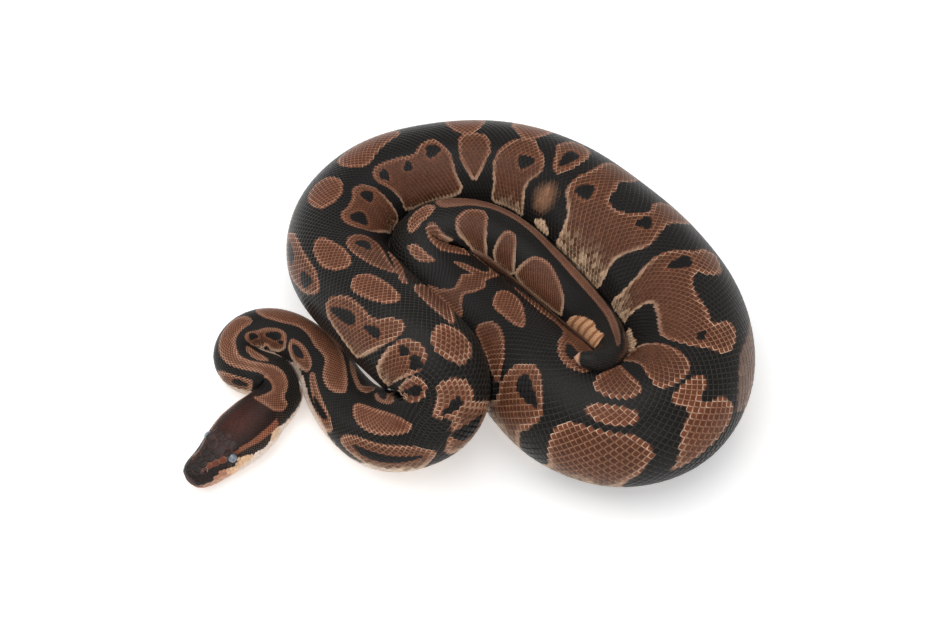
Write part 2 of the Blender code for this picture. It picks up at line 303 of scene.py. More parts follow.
def sectionSizes(stations, height, halfWidth):
    table = np.array(head["sections"])
    blend = softStep(*head["blend"], stations)
    rise = halfWidth * body["flattening"]
    trunk = (halfWidth, height + rise, height - rise, np.full(len(stations), 2.0))
    return [eased(stations, table[:, 0], table[:, k]) * (1 - blend) + value * blend
            for k, value in enumerate(trunk, start=1)]


def pressed(points, centre, halfWidth, stations):
    # draw points back to the plane that each ring shares with every length it lies against
    flatten = np.array([1, 1, 1 / body["flattening"]])
    free, seamGap = body["unpressed"], body["seamGap"]
    others, radii, where = axis[along > free, :3] * flatten, axis[along > free, 3], along[along > free]
    result = points.copy()
    for i, station in enumerate(stations):
        middle, reach = centre[i] * flatten, halfWidth[i]
        apart = np.abs(where - station)
        spread = np.linalg.norm(others - middle, axis=1)
        tooNear = 0.25 * reach + (body["neckReach"] if station <= free else 0.0)
        near = (apart > tooNear) & (spread < radii + reach + 3.0)
        if not near.any():
            continue
        otherLength = np.clip((apart[near] - 0.7 * reach) / reach, 0.0, 1.0)
        gap = (seamGap + (body["contactGap"] - seamGap) * otherLength) / 2
        radius = reach + (radii[near] - reach) * otherLength
        room = spread[near]**2 - radius**2 + reach**2 - 2 * spread[near] * gap
        ray = points[i] * flatten - middle
        closing = np.maximum(2 * ray @ (others[near] - middle).T, 1e-9)
        share = np.clip(room / closing, 0.02, 1.0).min(axis=1)
        result[i] = (middle + ray * share[:, None]) / flatten
    return result


def squared(share, power):
    # a sine or cosine drawn out towards the corners of its ring
    return np.sign(share) * np.abs(share) ** power


def bodyRings(stations, angles):
    # outer surface, in mm: one ring for each station, angles counted from the back to the left
    centre = columnsAt(stations, along, axis[:, :3])
    left, back = columnsAt(stations, along, leftWay), columnsAt(stations, along, backWay)
    rounding = np.clip((stations - bodyEnd + body["tipRounding"]) / body["tipRounding"], 0.0, 0.995)
    halfWidth = halfWidthAt(stations) * np.sqrt(1 - rounding**2)
    wide, top, underside, squareness = sectionSizes(stations, centre[:, 2], halfWidth)
    turned = np.radians(angles[None, :] + rollAt(stations)[:, None])
    power = 2 / squareness[:, None]
    across = wide[:, None] * squared(np.sin(turned), power)
    tall = (top - underside)[:, None] / 2 * squared(np.cos(turned), power)
    up = tall + ((top + underside) / 2 - centre[:, 2])[:, None]
    points = centre[:, None] + across[..., None] * left[:, None] + up[..., None] * back[:, None]
    points = pressed(points, centre, halfWidth, stations)
    points[..., 2] = np.maximum(points[..., 2], 0.0)
    return points


def gridNormals(points):
    around = np.roll(points, -1, axis=1) - np.roll(points, 1, axis=1)
    ahead = np.gradient(points, axis=0)
    normal = np.cross(ahead, around)
    return normal / (np.linalg.norm(normal, axis=2)[..., None] + 1e-12)


# ---- the surface grid, from which skin, scales and plates all take their places

grid = {"headStep": 0.4, "bodyStep": 1.2, "columns": 240}

fineStations = np.arange(0.0, head["end"], grid["headStep"])
coarseStations = np.linspace(head["end"], bodyEnd - 0.01, int((bodyEnd - head["end"]) / grid["bodyStep"]))
stations = np.concatenate([fineStations, coarseStations])
columns = np.linspace(-180.0, 180.0, grid["columns"], endpoint=False)
outer = bodyRings(stations, columns)
outward = gridNormals(outer)


def sample(field, places, angles):
    # read a field of the grid between its points
    places, angles = np.broadcast_arrays(np.asarray(places, float), np.asarray(angles, float))
    row = np.interp(places, stations, np.arange(len(stations)))
    col = (angles + 180.0) % 360.0 / 360.0 * grid["columns"]
    r0 = np.clip(row.astype(int), 0, len(stations) - 2)
    c0 = col.astype(int) % grid["columns"]
    c1 = (c0 + 1) % grid["columns"]
    fr, fc = row - r0, col - np.floor(col)
    if field.ndim == 3:
        fr, fc = fr[..., None], fc[..., None]
    return ((field[r0, c0] * (1 - fr) + field[r0 + 1, c0] * fr) * (1 - fc)
            + (field[r0, c1] * (1 - fr) + field[r0 + 1, c1] * fr) * fc)


# tables by distance from the snout: depth of the skin under the tops of its scales, in mm, then the angles
# where the ground turns pale and where the flank's brown starts to turn to olive and cream
bands = {
    "coatDepth": ([0, 40, 80, 200, 300, 800, 960, bodyEnd], [0.24, 0.26, 0.3, 0.4, 0.48, 0.48, 0.34, 0.12]),
    "bellyLine": ([0, 60, 98, 108, 150, 160, 188, 198, 210, 218, 232, 246, 262, 880, 900, 1010, 1025],
                  [80, 74, 76, 90, 90, 75, 69, 86, 94, 84, 80, 104, 126, 128, 176, 176, 128]),
    "lowFlank": ([0, 60, 108, 150, 172, 245, 262, 300, 480, 690, 704, 760, 860, 900, bodyEnd],
                 [54, 56, 68, 68, 56, 60, 84, 76, 80, 80, 62, 62, 70, 98, 98]),
}


# where along the body one look gives way to the next: start and end, in mm from the snout
zones = {
    "paleLip": (3, 8), "lowerLip": (6, 20), "rearLip": (19, 24), "crownSeams": (24, 34), "lipCream": (26, 36),
    "neck": (52, 60), "firstFolds": (66.0, 80.0), "trunkFlank": (240, 262), "tailBelly": (870, 890),
    "tailCream": (950, 960), "tailScales": (958, 972), "darkTail": (990, 1012), "lastFolds": (1000, 1015),
}


def bandAt(name, places):
    return np.interp(places, *bands[name])


def past(name, places):
    # 0 before the zone, 1 after it
    return softStep(*zones[name], places)


# ---- what the skin adds to the plain form: eye sockets, brows, nostrils, lip pits, mouth line, folds

relief = {
    "eye": (22.4, 46.0),
    "socketRadius": 2.15,
    "socketDepth": 1.5,
    "lidRadius": 2.8,
    "lidBreadth": 0.45,
    "lidHeight": 0.62,
    "mounds": {                 # place, angle, length, breadth and height
        "brow": (21.8, 31.0, 3.8, 1.6, 1.4),
        "canthus": (12.5, 24.0, 6.0, 1.5, 0.22),
        "cheek": (33.0, 62.0, 7.0, 3.0, 0.25),
        "loreal": (14.2, 56.0, 4.6, 3.4, -1.35),
        "nostrilRim": (8.7, 31.0, 1.7, 1.2, 0.4),
        "nostril": (8.7, 31.0, 1.0, 0.5, -1.3),
    },
    "lipPits": [3.4, 6.4, 9.6, 12.9],
    "lipPitSize": (0.55, 0.42, 1.5),                # depth, radius and height over the mouth line
    "mouthGroove": (0.55, 0.3),                     # depth and half breadth
    "foldLength": 7.5,
    "foldDepth": 0.7,
    "foldSqueeze": (0.3, 0.62),                     # full folds, no folds
}


def mouthHeightAt(places):
    return head["mouthHeight"] + np.tan(head["mouthRise"]) * np.asarray(places)


def bump(place, angle, long, wide, height, places, angles, width):
    # soft mound on both sides of the head
    across = (np.abs(angles) - angle) * np.pi / 180 * width
    return height * np.exp(-((places - place) / long) ** 2 - (across / wide) ** 2)


def headRelief(places, angles, points):
    width = headWidthAt(places)
    ahead, across = places - relief["eye"][0], (np.abs(angles) - relief["eye"][1]) * np.pi / 180 * width
    r = np.hypot(ahead, across)
    edge = relief["socketRadius"]
    lift = -relief["socketDepth"] * (1 - softStep(edge - 0.35, edge + 0.25, r))
    lift += relief["lidHeight"] * np.exp(-((r - relief["lidRadius"]) / relief["lidBreadth"]) ** 2)
    for name, shape in relief["mounds"].items():
        mound = bump(*shape, places, angles, width)
        lift += mound * softStep(edge, edge + 0.6, r) if name == "brow" else mound
    height = points[..., 2] - mouthHeightAt(places)
    depth, radius, rise = relief["lipPitSize"]
    for pit in relief["lipPits"]:
        lift -= depth * np.exp(-((places - pit) / radius) ** 2 - ((height - rise) / radius) ** 2)
    depth, breadth = relief["mouthGroove"]
    fade = 1 - softStep(head["mouthLength"] - 2.0, head["mouthLength"] + 1.0, places)
    lift -= depth * fade * np.exp(-(height / breadth) ** 2)
    return lift


def foldWave(places, angles):
    # 0 on the ridges, 1 in the creases
    wander = 2.5 * np.sin(np.radians(angles) * 2.0 + places / 31.0)
    return (1 - np.cos(2 * np.pi * (places + wander) / relief["foldLength"])) / 2


def foldRelief(places, angles):
    # wrinkles where the inside of a bend is squeezed
    squeeze = np.linalg.norm(np.gradient(outer, axis=0), axis=2) / np.gradient(stations)[:, None]
    strength = 1 - softStep(*relief["foldSqueeze"], squeeze)
    strength = strength * past("firstFolds", places) * (1 - past("lastFolds", places))
    return -strength * relief["foldDepth"] * foldWave(places, angles)


placeGrid, angleGrid = np.meshgrid(stations, columns, indexing="ij")
liftGrid = foldRelief(placeGrid, angleGrid)
onHead = stations < head["end"] + 2
liftGrid[onHead] += headRelief(placeGrid[onHead], angleGrid[onHead], outer[onHead])
skinGrid = outer + outward * (liftGrid - bandAt("coatDepth", placeGrid))[..., None]
skinGrid[..., 2] = np.maximum(skinGrid[..., 2], 0.02)
skinNormal = gridNormals(skinGrid)
print("surface grid:", skinGrid.shape[:2])

# ---- markings: outlines in distance from the snout (mm) and angle from the back (degrees, left is +)

tones = {name: paint(*colour) for name, colour in {
    "ground": (23, 21, 20), "back": (92, 52, 35), "flank": (82, 47, 31), "soft": (92, 64, 50),
    "amber": (126, 72, 48), "glint": (244, 208, 180), "groundEdgeSkinAndSheen": (88, 84, 76), "cream": (222, 190, 158),
    "belly": (228, 210, 196), "rust": (120, 64, 42), "dark": (30, 23, 20), "peach": (212, 160, 128),
    "olive": (88, 68, 46), "tail": (104, 70, 56), "lipPeach": (170, 118, 95), "shade": (106, 86, 76),
    "haze": (128, 92, 68), "tip": (138, 102, 92), "tailRidge": (206, 146, 92), "tailCreaseShade": (138, 82, 50),
    "tailBelly": (112, 80, 64), "crownWarm": (84, 42, 35), "crownRim": (128, 88, 76),
    "crownSeam": (64, 42, 38), "lipCream": (220, 156, 98), "paintedShadeBelly": (126, 108, 92),
    "smudge": (168, 140, 118), "wing": (204, 168, 140),
}.items()}

tipFrom = bodyEnd - 3.2
fadeInside = {"soft": 5.0, "haze": 7.5, "shade": 1.4}      # mm from the edge to the full tone

# kind, outline, then the dark spots in it: place, angle, half length and half breadth
blotches = [
    # neck
    ("back", [(51, 18), (52, 32), (54, 22), (60, 13), (65, 25), (71, 36), (77, 37), (83, 24), (90, 20),
        (100, 24), (110, 26), (115, 24), (118, 0), (118, -18), (112, -24), (100, -20), (95, -10), (85, -3),
        (78, -2), (72, -10), (66, -18), (61, -22), (60, -40), (57, -44), (54, -36), (52, -20)]),
    ("back", [(121, 20), (123, 36), (130, 42), (140, 42), (150, 38), (160, 34), (170, 30), (180, 26),
        (188, 18), (194, 8), (196, 0), (192, -12), (186, -20), (178, -20), (170, -10), (163, -14), (158, -18),
        (150, -13), (143, -10), (135, -14), (128, -12), (123, -4)]),
    ("flank", [(85, 50), (86, 42), (91, 39), (96, 44), (98, 62), (97, 82), (95, 100), (90, 100), (86, 80),
        (85, 65)], (90, 56, 3, 9)),
    ("flank", [(81, -9), (86, -9), (93, -24), (99, -42), (96, -46), (88, -34), (82, -20)]),
    ("flank", [(103, -58), (105, -45), (110, -37), (118, -40), (125, -34), (133, -30), (139, -34), (143, -50),
        (145, -68), (141, -82), (133, -85), (128, -76), (118, -90), (106, -85), (100, -75)], (113, -52, 5, 9),
        (133, -48, 6.5, 10), (140, -58, 2.5, 5)),
    ("flank", [(145, -45), (148, -38), (160, -35), (168, -38), (170, -50), (165, -65), (158, -75), (152, -74),
        (147, -62)], (154, -53, 6, 9)),
    ("flank", [(172, -45), (174, -36), (180, -36), (190, -38), (198, -44), (202, -56), (200, -70), (196, -78),
        (192, -66), (183, -56), (175, -50)], (191, -54, 7, 8)),
    ("belly", [(168, -70), (175, -66), (195, -68), (199, -80), (196, -112), (169, -112)]),
    ("belly", [(67, -60), (73, -52), (82, -50), (89, -56), (93, -66), (90, -100), (69, -100)]),
    ("flank", [(173, 42), (178, 48), (188, 38), (198, 32), (203, 48), (207, 40), (205, 24), (197, 22),
        (186, 30), (177, 36)]),
    ("flank", [(211, 38), (214, 28), (225, 25), (236, 28), (239, 40), (238, 55), (233, 70), (231, 55),
        (228, 32), (218, 34)]),
    # first loop, back
    ("back", [(206, 0), (212, 8), (222, 13), (232, 12), (240, 4), (242, -4), (238, -14), (228, -19),
        (218, -22), (210, -16)]),
    ("back", [(250, 0), (251, 10), (255, 22), (259, 28), (261, 15), (260, -5), (256, -20), (252, -15)],
        (254, -2, 2.5, 8)),
    ("back", [(264, 0), (266, 15), (269, 25), (273, 22), (276, 8), (275, -5), (271, -18), (267, -20)]),
    ("back", [(295, 12), (299, 24), (308, 28), (317, 27), (322, 15), (320, 2), (312, -2), (303, 0),
        (297, 5)]),
    ("back", [(330, 5), (333, 18), (341, 24), (352, 20), (357, 10), (354, 0), (345, -7), (336, -5)]),
    # first loop, right flank
    ("flank", [(207, -60), (210, -45), (216, -35), (226, -33), (236, -35), (241, -50), (240, -62), (236, -75),
        (232, -90), (231, -102), (220, -102), (219, -88), (214, -76), (209, -70)], (224, -56, 12, 8)),
    ("flank", [(256, -12), (255.5, -28), (256, -44), (255, -66), (251, -80), (247, -86), (243, -80),
        (242.5, -66), (244, -52), (248, -33), (250, -20), (252, -10)], (249.8, -50, 3.0, 17)),
    ("flank", [(275, -11), (290, -10), (299, -18), (301, -32), (301, -47), (285, -47), (279, -32)]),
    ("flank", [(302, -18), (305, -15), (312, -25), (322, -38), (335, -55), (330, -57), (318, -45),
        (308, -28)]),
    ("flank", [(312, -25), (320, -14), (332, -10), (343, -12), (350, -22), (351, -38), (345, -50), (336, -48),
        (325, -36)], (341, -30, 5, 8)),
    ("flank", [(358, -50), (360, -35), (365, -24), (372, -22), (378, -28), (386, -30), (392, -26), (398, -27),
        (404, -38), (407, -60), (408, -88), (400, -98), (385, -98), (375, -85), (366, -72), (360, -60)],
        (370, -43, 6.5, 11), (395, -43, 5.5, 8)),
    # first loop, left flank
    ("flank", [(250, 35), (257, 38), (263, 48), (264, 66), (261, 78), (256, 72), (251, 55)],
        (257, 55, 3, 14)),
    ("flank", [(265, 60), (266, 45), (271, 34), (277, 38), (281, 50), (283, 70), (282, 100), (268, 105),
        (266, 85)], (269, 50, 3.5, 8), (276, 53, 3, 6)),
    ("flank", [(282, 40), (285, 29), (291, 33), (297, 44), (306, 38), (316, 36), (324, 46), (325, 60),
        (320, 72), (312, 82), (305, 92), (298, 100), (294, 95), (288, 75), (284, 58)], (293, 56, 5, 6),
        (312, 57, 9, 8)),
    ("flank", [(334, 50), (337, 40), (343, 32), (352, 30), (362, 32), (370, 40), (374, 55), (370, 66),
        (360, 70), (350, 68), (340, 62)], (345, 50, 5, 9), (363, 53, 6, 8)),
    ("soft", [(310, 97), (320, 94), (330, 97), (330, 112), (320, 116), (311, 112)]),
    # great coil, back
    ("back", [(376, 0), (380, 15), (388, 26), (395, 20), (398, 5), (396, -10), (388, -17), (380, -12)]),
    ("back", [(406, 8), (409, 22), (415, 28), (430, 30), (437, 20), (437, 5), (430, -3), (423, -10),
        (416, -17), (410, -14), (407, -4)]),
    ("back", [(460, 5), (460, 20), (462, 26), (475, 22), (478, 5), (476, -12), (473, -20), (468, -20),
        (463, -10)]),
    ("back", [(490, 0), (490, 18), (492, 24), (505, 22), (507, 0), (504, -18), (498, -22), (493, -12)]),
    ("back", [(673, -5), (676, 3), (680, 8), (678, 18), (686, 18), (685, 8), (688, 0), (686, -8), (680, -11),
        (675, -9)]),
    ("back", [(672, 35), (674, 20), (679, 15), (687, 16), (690, 30), (692, 50), (693, 62), (684, 55),
        (675, 45)]),
    ("back", [(701, 2), (704, 8), (711, 9), (717, 6), (719, 0), (716, -6), (708, -8), (702, -4)]),
    ("back", [(770, 4), (774, 10), (782, 15), (792, 16), (798, 6), (800, -8), (796, -18), (788, -16),
        (778, -6), (772, -1)]),
    # great coil, inner flank
    ("flank", [(410, -40), (412, -30), (417, -25), (428, -28), (440, -32), (446, -22), (452, -20), (457, -30),
        (461, -45), (463, -62), (465, -90), (422, -90), (418, -72), (414, -55)], (417, -39, 3.5, 7),
        (434.5, -43.5, 3.2, 6), (451, -35, 4.5, 8)),
    ("flank", [(466, -25), (470, -20), (476, -20), (481, -27), (484, -45), (481, -62), (478, -74), (474, -74),
        (469, -62), (466, -48)]),
    ("flank", [(487, -55), (490, -38), (496, -25), (503, -20), (510, -32), (516, -45), (518, -58), (514, -72),
        (516, -88), (519, -106), (512, -104), (502, -102), (491, -98), (490, -80), (488, -66)],
        (506, -50, 5, 8)),
    ("flank", [(516, -8), (518, 4), (524, 6), (530, -8), (532, -25), (531, -40), (527, -51), (522, -45),
        (518, -30), (515, -18)], (525, -28, 3.5, 13)),
    ("haze", [(519, -76), (523, -62), (530, -58), (537, -68), (539, -84), (533, -97), (524, -94)]),
    ("cream", [(531, -102), (538, -99), (544, -108), (540, -112), (532, -108)]),
    ("flank", [(539, 5), (538, -10), (539, -28), (537, -45), (538, -60), (543, -70), (549, -82), (551, -100),
        (553, -118), (570, -124), (590, -122), (592, -105), (590, -85), (594, -68), (596, -52), (592, -38),
        (589, -22), (590, -5), (588, 8), (578, 10), (574, -5), (575, -20), (578, -30), (574, -44), (567, -50),
        (560, -46), (557, -32), (554, -22), (556, -8), (554, 8), (545, 10)], (547, -52, 5, 9),
        (583, -42, 4, 8)),
    ("flank", [(608, 0), (610, 7), (616, 4), (621, -5), (622, -18), (620, -28), (626, -35), (634, -32),
        (641, -24), (648, -18), (645, -5), (648, 5), (655, 6), (660, -2), (661, -15), (663, -30), (662, -48),
        (658, -58), (650, -64), (640, -68), (632, -72), (629, -80), (629, -100), (630, -108), (612, -118),
        (606, -115), (608, -95), (607, -78), (604, -60), (604, -45), (606, -32), (608, -20), (607, -8)],
        (613, -38, 3.5, 12), (656, -24, 3, 4)),
    ("cream", [(638, -100), (650, -92), (665, -80), (680, -78), (690, -90), (680, -110), (645, -115)]),
    ("shade", [(634, 40), (641, 26), (649, 18), (656, 14), (661, 19), (666, 26), (670, 36), (671, 48),
        (662, 60), (645, 60)]),
    ("cream", [(738, -56), (750, -54), (765, -58), (765, -68), (738, -68)]),
    ("flank", [(666, -55), (668, -35), (673, -18), (682, -15), (690, -18), (692, -35), (692, -48), (698, -56),
        (704, -60), (698, -70), (688, -80), (675, -80), (668, -72)]),
    ("flank", [(697, -22), (703, -15), (712, -15), (719, -20), (718, -35), (710, -50), (705, -50),
        (700, -35)]),
    ("flank", [(724, -32), (733, -23), (742, -20), (750, -26), (755, -36), (762, -42), (770, -38), (776, -30),
        (785, -27), (796, -32), (803, -45), (800, -70), (770, -75), (740, -70), (728, -50)],
        (741, -35, 7, 7)),
    # great coil and inner coil, left flank
    ("flank", [(698, 35), (702, 18), (712, 15), (722, 17), (727, 30), (728, 50), (727, 75), (730, 95),
        (708, 95), (706, 75), (702, 55), (699, 42)]),
    ("flank", [(733, 28), (736, 14), (742, 4), (748, 6), (754, 20), (755, 40), (753, 60), (757, 80),
        (755, 100), (740, 98), (738, 75), (738, 60), (735, 45)], (743, 24, 7, 9)),
    ("flank", [(757, 50), (757, 40), (762, 30), (770, 26), (783, 27), (789, 38), (788, 50), (775, 53)]),
    # narrow turn
    ("flank", [(802, 50), (807, 38), (811, 28), (808, 15), (807, 2), (811, -8), (812, -30), (816, -52),
        (822, -50), (817, -25), (822, -16), (830, -12), (834, -5), (828, -3), (820, -3), (823, 5), (821, 15),
        (819, 26), (824, 38), (832, 42), (828, 47), (815, 50)]),
    ("back", [(852, 17), (850, 19), (848, 19), (846, 18.5), (842.5, 13), (841.5, 6), (843.5, 3), (846, 2),
        (849, 0.5), (852, 3), (852.5, 10)]),
    ("back", [(857, 5), (861, 14), (867, 10), (869, -8), (867, -20), (861, -12)]),
    ("flank", [(834, -38), (836, -27), (841, -20), (845, -15.5), (849, -17), (853, -17.5), (858, -21),
        (863, -26), (866, -34), (867.5, -44), (868, -56), (870, -68), (873, -82), (866, -80), (856, -62),
        (846, -50), (840, -44)]),
    # tail
    ("tail", [(870, 18), (878, 25), (890, 22), (915, 16), (945, 14), (980, 13), (1008, 12), (1014, 0),
        (1008, -12), (980, -15), (945, -14), (920, -9), (900, -10), (885, -18), (872, -18)]),
    ("flank", [(875, -60), (876, -45), (880, -32), (884, -28), (888, -27), (891, -35), (893, -55), (896, -80),
        (899, -100), (902, -125), (895, -120), (888, -110), (880, -90), (876, -75)]),
    ("flank", [(902, -60), (903, -45), (906, -38), (909, -40), (912, -50), (916, -70), (919, -88),
        (921, -105), (916, -120), (908, -118), (903, -95), (902, -75)]),
    ("flank", [(921, -90), (922, -65), (924, -45), (929, -34), (934, -33), (941, -40), (948, -50), (955, -65),
        (958, -85), (958, -105), (945, -112), (930, -118), (922, -108)]),
    ("cream", [(964, -110), (967, -85), (972, -72), (980, -62), (988, -55), (994, -58), (1000, -50),
        (1003, -45), (1006, -60), (1009, -85), (1005, -105), (992, -115), (975, -120), (966, -118)]),
    ("soft", [(980, 32), (995, 30), (1018, 30), (1018, 62), (1000, 65), (982, 60)]),
    ("tail", [(884, -112), (900, -108), (915, -114), (960, -114), (1000, -108), (1004, -125), (980, -176),
        (900, -176), (884, -140)]),
    ("tip", [(tipFrom, 0), (tipFrom, 185), (1060, 185), (1060, -185), (tipFrom, -185)]),
]

# blotches on the flanks that lie against the coils: place, side, width and height of each
hiddenBlotches = {
    "left": [392, 440, 488, 540, 596, 652],
    "right": [830],
    "width": 30.0,
    "top": 48.0,
    "bottom": 112.0,
}


def hiddenBlotch(place, side):
    # broad top with two dark spots, tapering towards the belly
    wide, top, low = hiddenBlotches["width"] / 2, hiddenBlotches["top"], hiddenBlotches["bottom"]
    shape = [(-wide, top + 12), (-wide * 0.7, top + 2), (0, top), (wide * 0.8, top + 3), (wide, top + 14),
             (wide * 0.7, top + 34), (wide * 0.5, low), (-wide * 0.45, low), (-wide * 0.6, top + 36)]
    return ("flank", [(place + x, side * a) for x, a in shape],
            (place - wide * 0.45, side * (top + 14), 5, 9), (place + wide * 0.4, side * (top + 15), 6, 10))


blotches += [hiddenBlotch(place, 1) for place in hiddenBlotches["left"]]
blotches += [hiddenBlotch(place, -1) for place in hiddenBlotches["right"]]

# the head, drawn on the right and mirrored on the left
headMarks = [
    ("belly", [(-2, -118), (12, -98), (16, -92), (22, -80), (30, -75), (33, -71), (38, -76), (42, -70),
        (45, -62), (48, -62), (54, -68), (60, -74), (60, -190), (-2, -190)]),
    ("lipPeach", [(4, -74), (9, -74), (14, -68), (17, -72), (19, -80), (19, -98), (4, -110)]),
    ("cream", [(17.5, -74), (20, -64), (22, -58), (25, -57), (29, -62), (31, -72), (30, -82), (24, -86),
        (18, -88)]),
    ("cream", [(42, -68), (44, -58), (48, -58), (50, -66), (48, -80), (43, -80)]),
    ("dark", [(19.8, -50), (23.2, -50), (23.4, -60), (22.8, -70), (21.0, -74), (20.4, -64)]),
    ("dark", [(23, -46), (28, -47), (32, -48), (38, -54), (43, -57), (44.5, -61), (42, -68), (38, -74),
        (34, -71), (30, -67), (27, -59), (23, -56)]),
    ("rust", [(24, -35), (28, -35), (32, -38), (38, -39), (44, -41), (49, -42), (53, -47), (51, -56),
        (46, -58), (40, -55), (36, -53), (32, -49), (27, -46), (24, -43)]),
    ("rust", [(8, -14), (11, -13), (17, -24), (21, -30), (21, -40), (18, -41), (13, -34), (8, -24)]),
    ("dark", [(52, -36), (60, -30), (60, -76), (55, -74), (51, -64)]),
]


def closedCurve(outline, between=4):
    # Catmull-Rom curve through the corners of an outline
    p = np.array(outline, float)
    t = np.arange(between)[:, None, None] / between
    a, b, c, d = np.roll(p, 1, 0), p, np.roll(p, -1, 0), np.roll(p, -2, 0)
    curve = b + 0.5 * t * (c - a + t * (2 * a - 5 * b + 4 * c - d + t * (3 * (b - c) + d - a)))
    return curve.transpose(1, 0, 2).reshape(-1, 2)


def depthInside(outline, places, angles, width):
    # distance in mm to an outline, positive inside it
    scale = np.array([1.0, np.pi / 180 * width])
    edge, spot = closedCurve(outline) * scale, np.stack([places, angles], -1) * scale
    ahead = np.roll(edge, -1, 0)
    inside, nearest = np.zeros(len(spot), bool), np.full(len(spot), 1e9)
    for a, b in zip(edge, ahead):
        way = b - a
        t = np.clip((spot - a) @ way / max(way @ way, 1e-9), 0.0, 1.0)
        nearest = np.minimum(nearest, np.linalg.norm(spot - a - t[:, None] * way, axis=1))
        crosses = (a[1] > spot[:, 1]) != (b[1] > spot[:, 1])
        side = a[0] + (spot[:, 1] - a[1]) * way[0] / (way[1] if abs(way[1]) > 1e-9 else 1e-9)
        inside ^= crosses & (spot[:, 0] < side)
    return np.where(inside, nearest, -nearest)


blotchLook = {
    "variation": (0.86, 0.28),  # darkest scale, and how much lighter the lightest is
    "rim": (0.7, 2.7),          # the pale border: full and gone, in mm from the edge
    "rimAmber": 0.6,
    "rimPale": 0.45,
    "tip": 0.28,                # how pale the scales' own edges are
    "flankTip": 0.16,
    "apartTip": 0.4,            # and how much more so where the scales stand apart
    "spotEdge": (0.88, 1.06),   # of the spot's half length and half breadth
    "spotHalo": (1.0, 1.5),
    "haloStrength": 0.45,
    "spotWobble": 0.12,
}

bellyLook = {
    "from": 48.0,               # behind the head, which has marks of its own
    "softness": 4.0,            # degrees to each side of the line
    "unevenness": 9.0,
    "overBlotch": 0.4,
    "shaded": (162, 14, 0.75),  # middle, reach and strength of the painted shade on the belly in the neck's bend
}


def mix(first, second, amount):
    return first + (second - first) * np.asarray(amount)[..., None]


def varied(tone, low, spread, jitter):
    # each scale a little lighter or darker than the next
    return tone * (low + spread * jitter[:, None])


def bellyLineAt(places):
    # the line where the ground turns pale wavers along the body
    return bandAt("bellyLine", places) + 4 * np.sin(places / 7.1) + 3 * np.sin(places / 3.3 + 1)


def blotchColour(kind, places, angles, deep, jitter, apart):
    # colour of the middle and of the edge of scales inside one blotch
    look, steep = blotchLook, np.abs(angles)
    main = varied(tones[kind], *look["variation"], jitter)
    tip = mix(main, tones["peach"], look["flankTip" if kind == "flank" else "tip"] + look["apartTip"] * apart)
    rim = 1 - softStep(*look["rim"], deep)
    if kind == "flank":
        low = softStep(0, 34, steep - bandAt("lowFlank", places) + 12 * (jitter - 0.5))
        main = mix(main, varied(tones["olive"], 0.5, 0.7, jitter), low * 0.6)
        front = 1 - past("trunkFlank", places)
        main = mix(main, tones["cream"], low**2 * (0.08 + 0.45 * front + (0.55 - 0.1 * front) * jitter**2))
        tip = mix(tip, tones["cream"], 0.05 + 0.75 * low)
    elif kind in fadeInside:
        main = mix(tones["ground"], main, softStep(0, fadeInside[kind], deep + jitter - 0.5))
        return main, mix(main, tones["peach"], 0.2)
    elif kind == "cream":
        main = mix(main, tones["amber"], 0.08 + 0.3 * jitter**2)
        onTail = past("tailCream", places)
        main = mix(main, tones["tailRidge"], 0.5 * onTail)
        # painted shade: the creases between the folds of the tail's cream patch are darkened to orange-brown
        main = mix(main, tones["tailCreaseShade"], 0.85 * onTail * softStep(0.4, 0.95, foldWave(places, angles)))
        return main, mix(main, tones["amber"], 0.5)
    elif kind == "tail":
        tip = mix(main, tones["peach"], 0.2)
        main = mix(main, tones["ground"], past("darkTail", places) * 0.6)
        rim = rim * 0.4
    pale = mix(tones["glint"], tones["cream"], softStep(50, 100, steep))
    main = mix(main, tones["amber"], rim * look["rimAmber"])
    main = mix(main, pale, rim * look["rimPale"] * softStep(45, 95, steep))
    return main, mix(tip, pale, rim * (0.5 + 0.4 * apart))


headTilt = 15.0                 # degrees by which the left side's marks lie lower than the right's


def headColour(places, angles, tone, edge, jitter, kept, spread):
    lower = headTilt * softStep(4, 30, angles) * (1 - softStep(90, 130, angles))
    side = np.where(np.abs(angles) > 179.9, -180.0, lower - np.abs(angles))
    fade = (1 - past("neck", places)) * (1 - kept)
    warm = np.exp(-((places - 37) / 12) ** 2 - (side / 24) ** 2)
    main = mix(tones["dark"] * 1.1, tones["crownWarm"], warm * (0.4 + 0.35 * jitter))
    tip = mix(main, tones["crownRim"], 0.22)
    for kind, outline in headMarks:
        within = softStep(-spread - 0.05, spread + 0.05, depthInside(outline, places, side, 12.0))
        own = varied(tones[kind], 0.88, 0.24, jitter)
        if kind == "cream":
            own = mix(own, tones["lipCream"], 0.3 * (1 - past("lipCream", places)))
        main = mix(main, own, within)
        tip = mix(tip, mix(own, tones["glint"], 0.45 if kind == "rust" else 0.15), within)
    return mix(tone, main, fade), mix(edge, tip, fade)


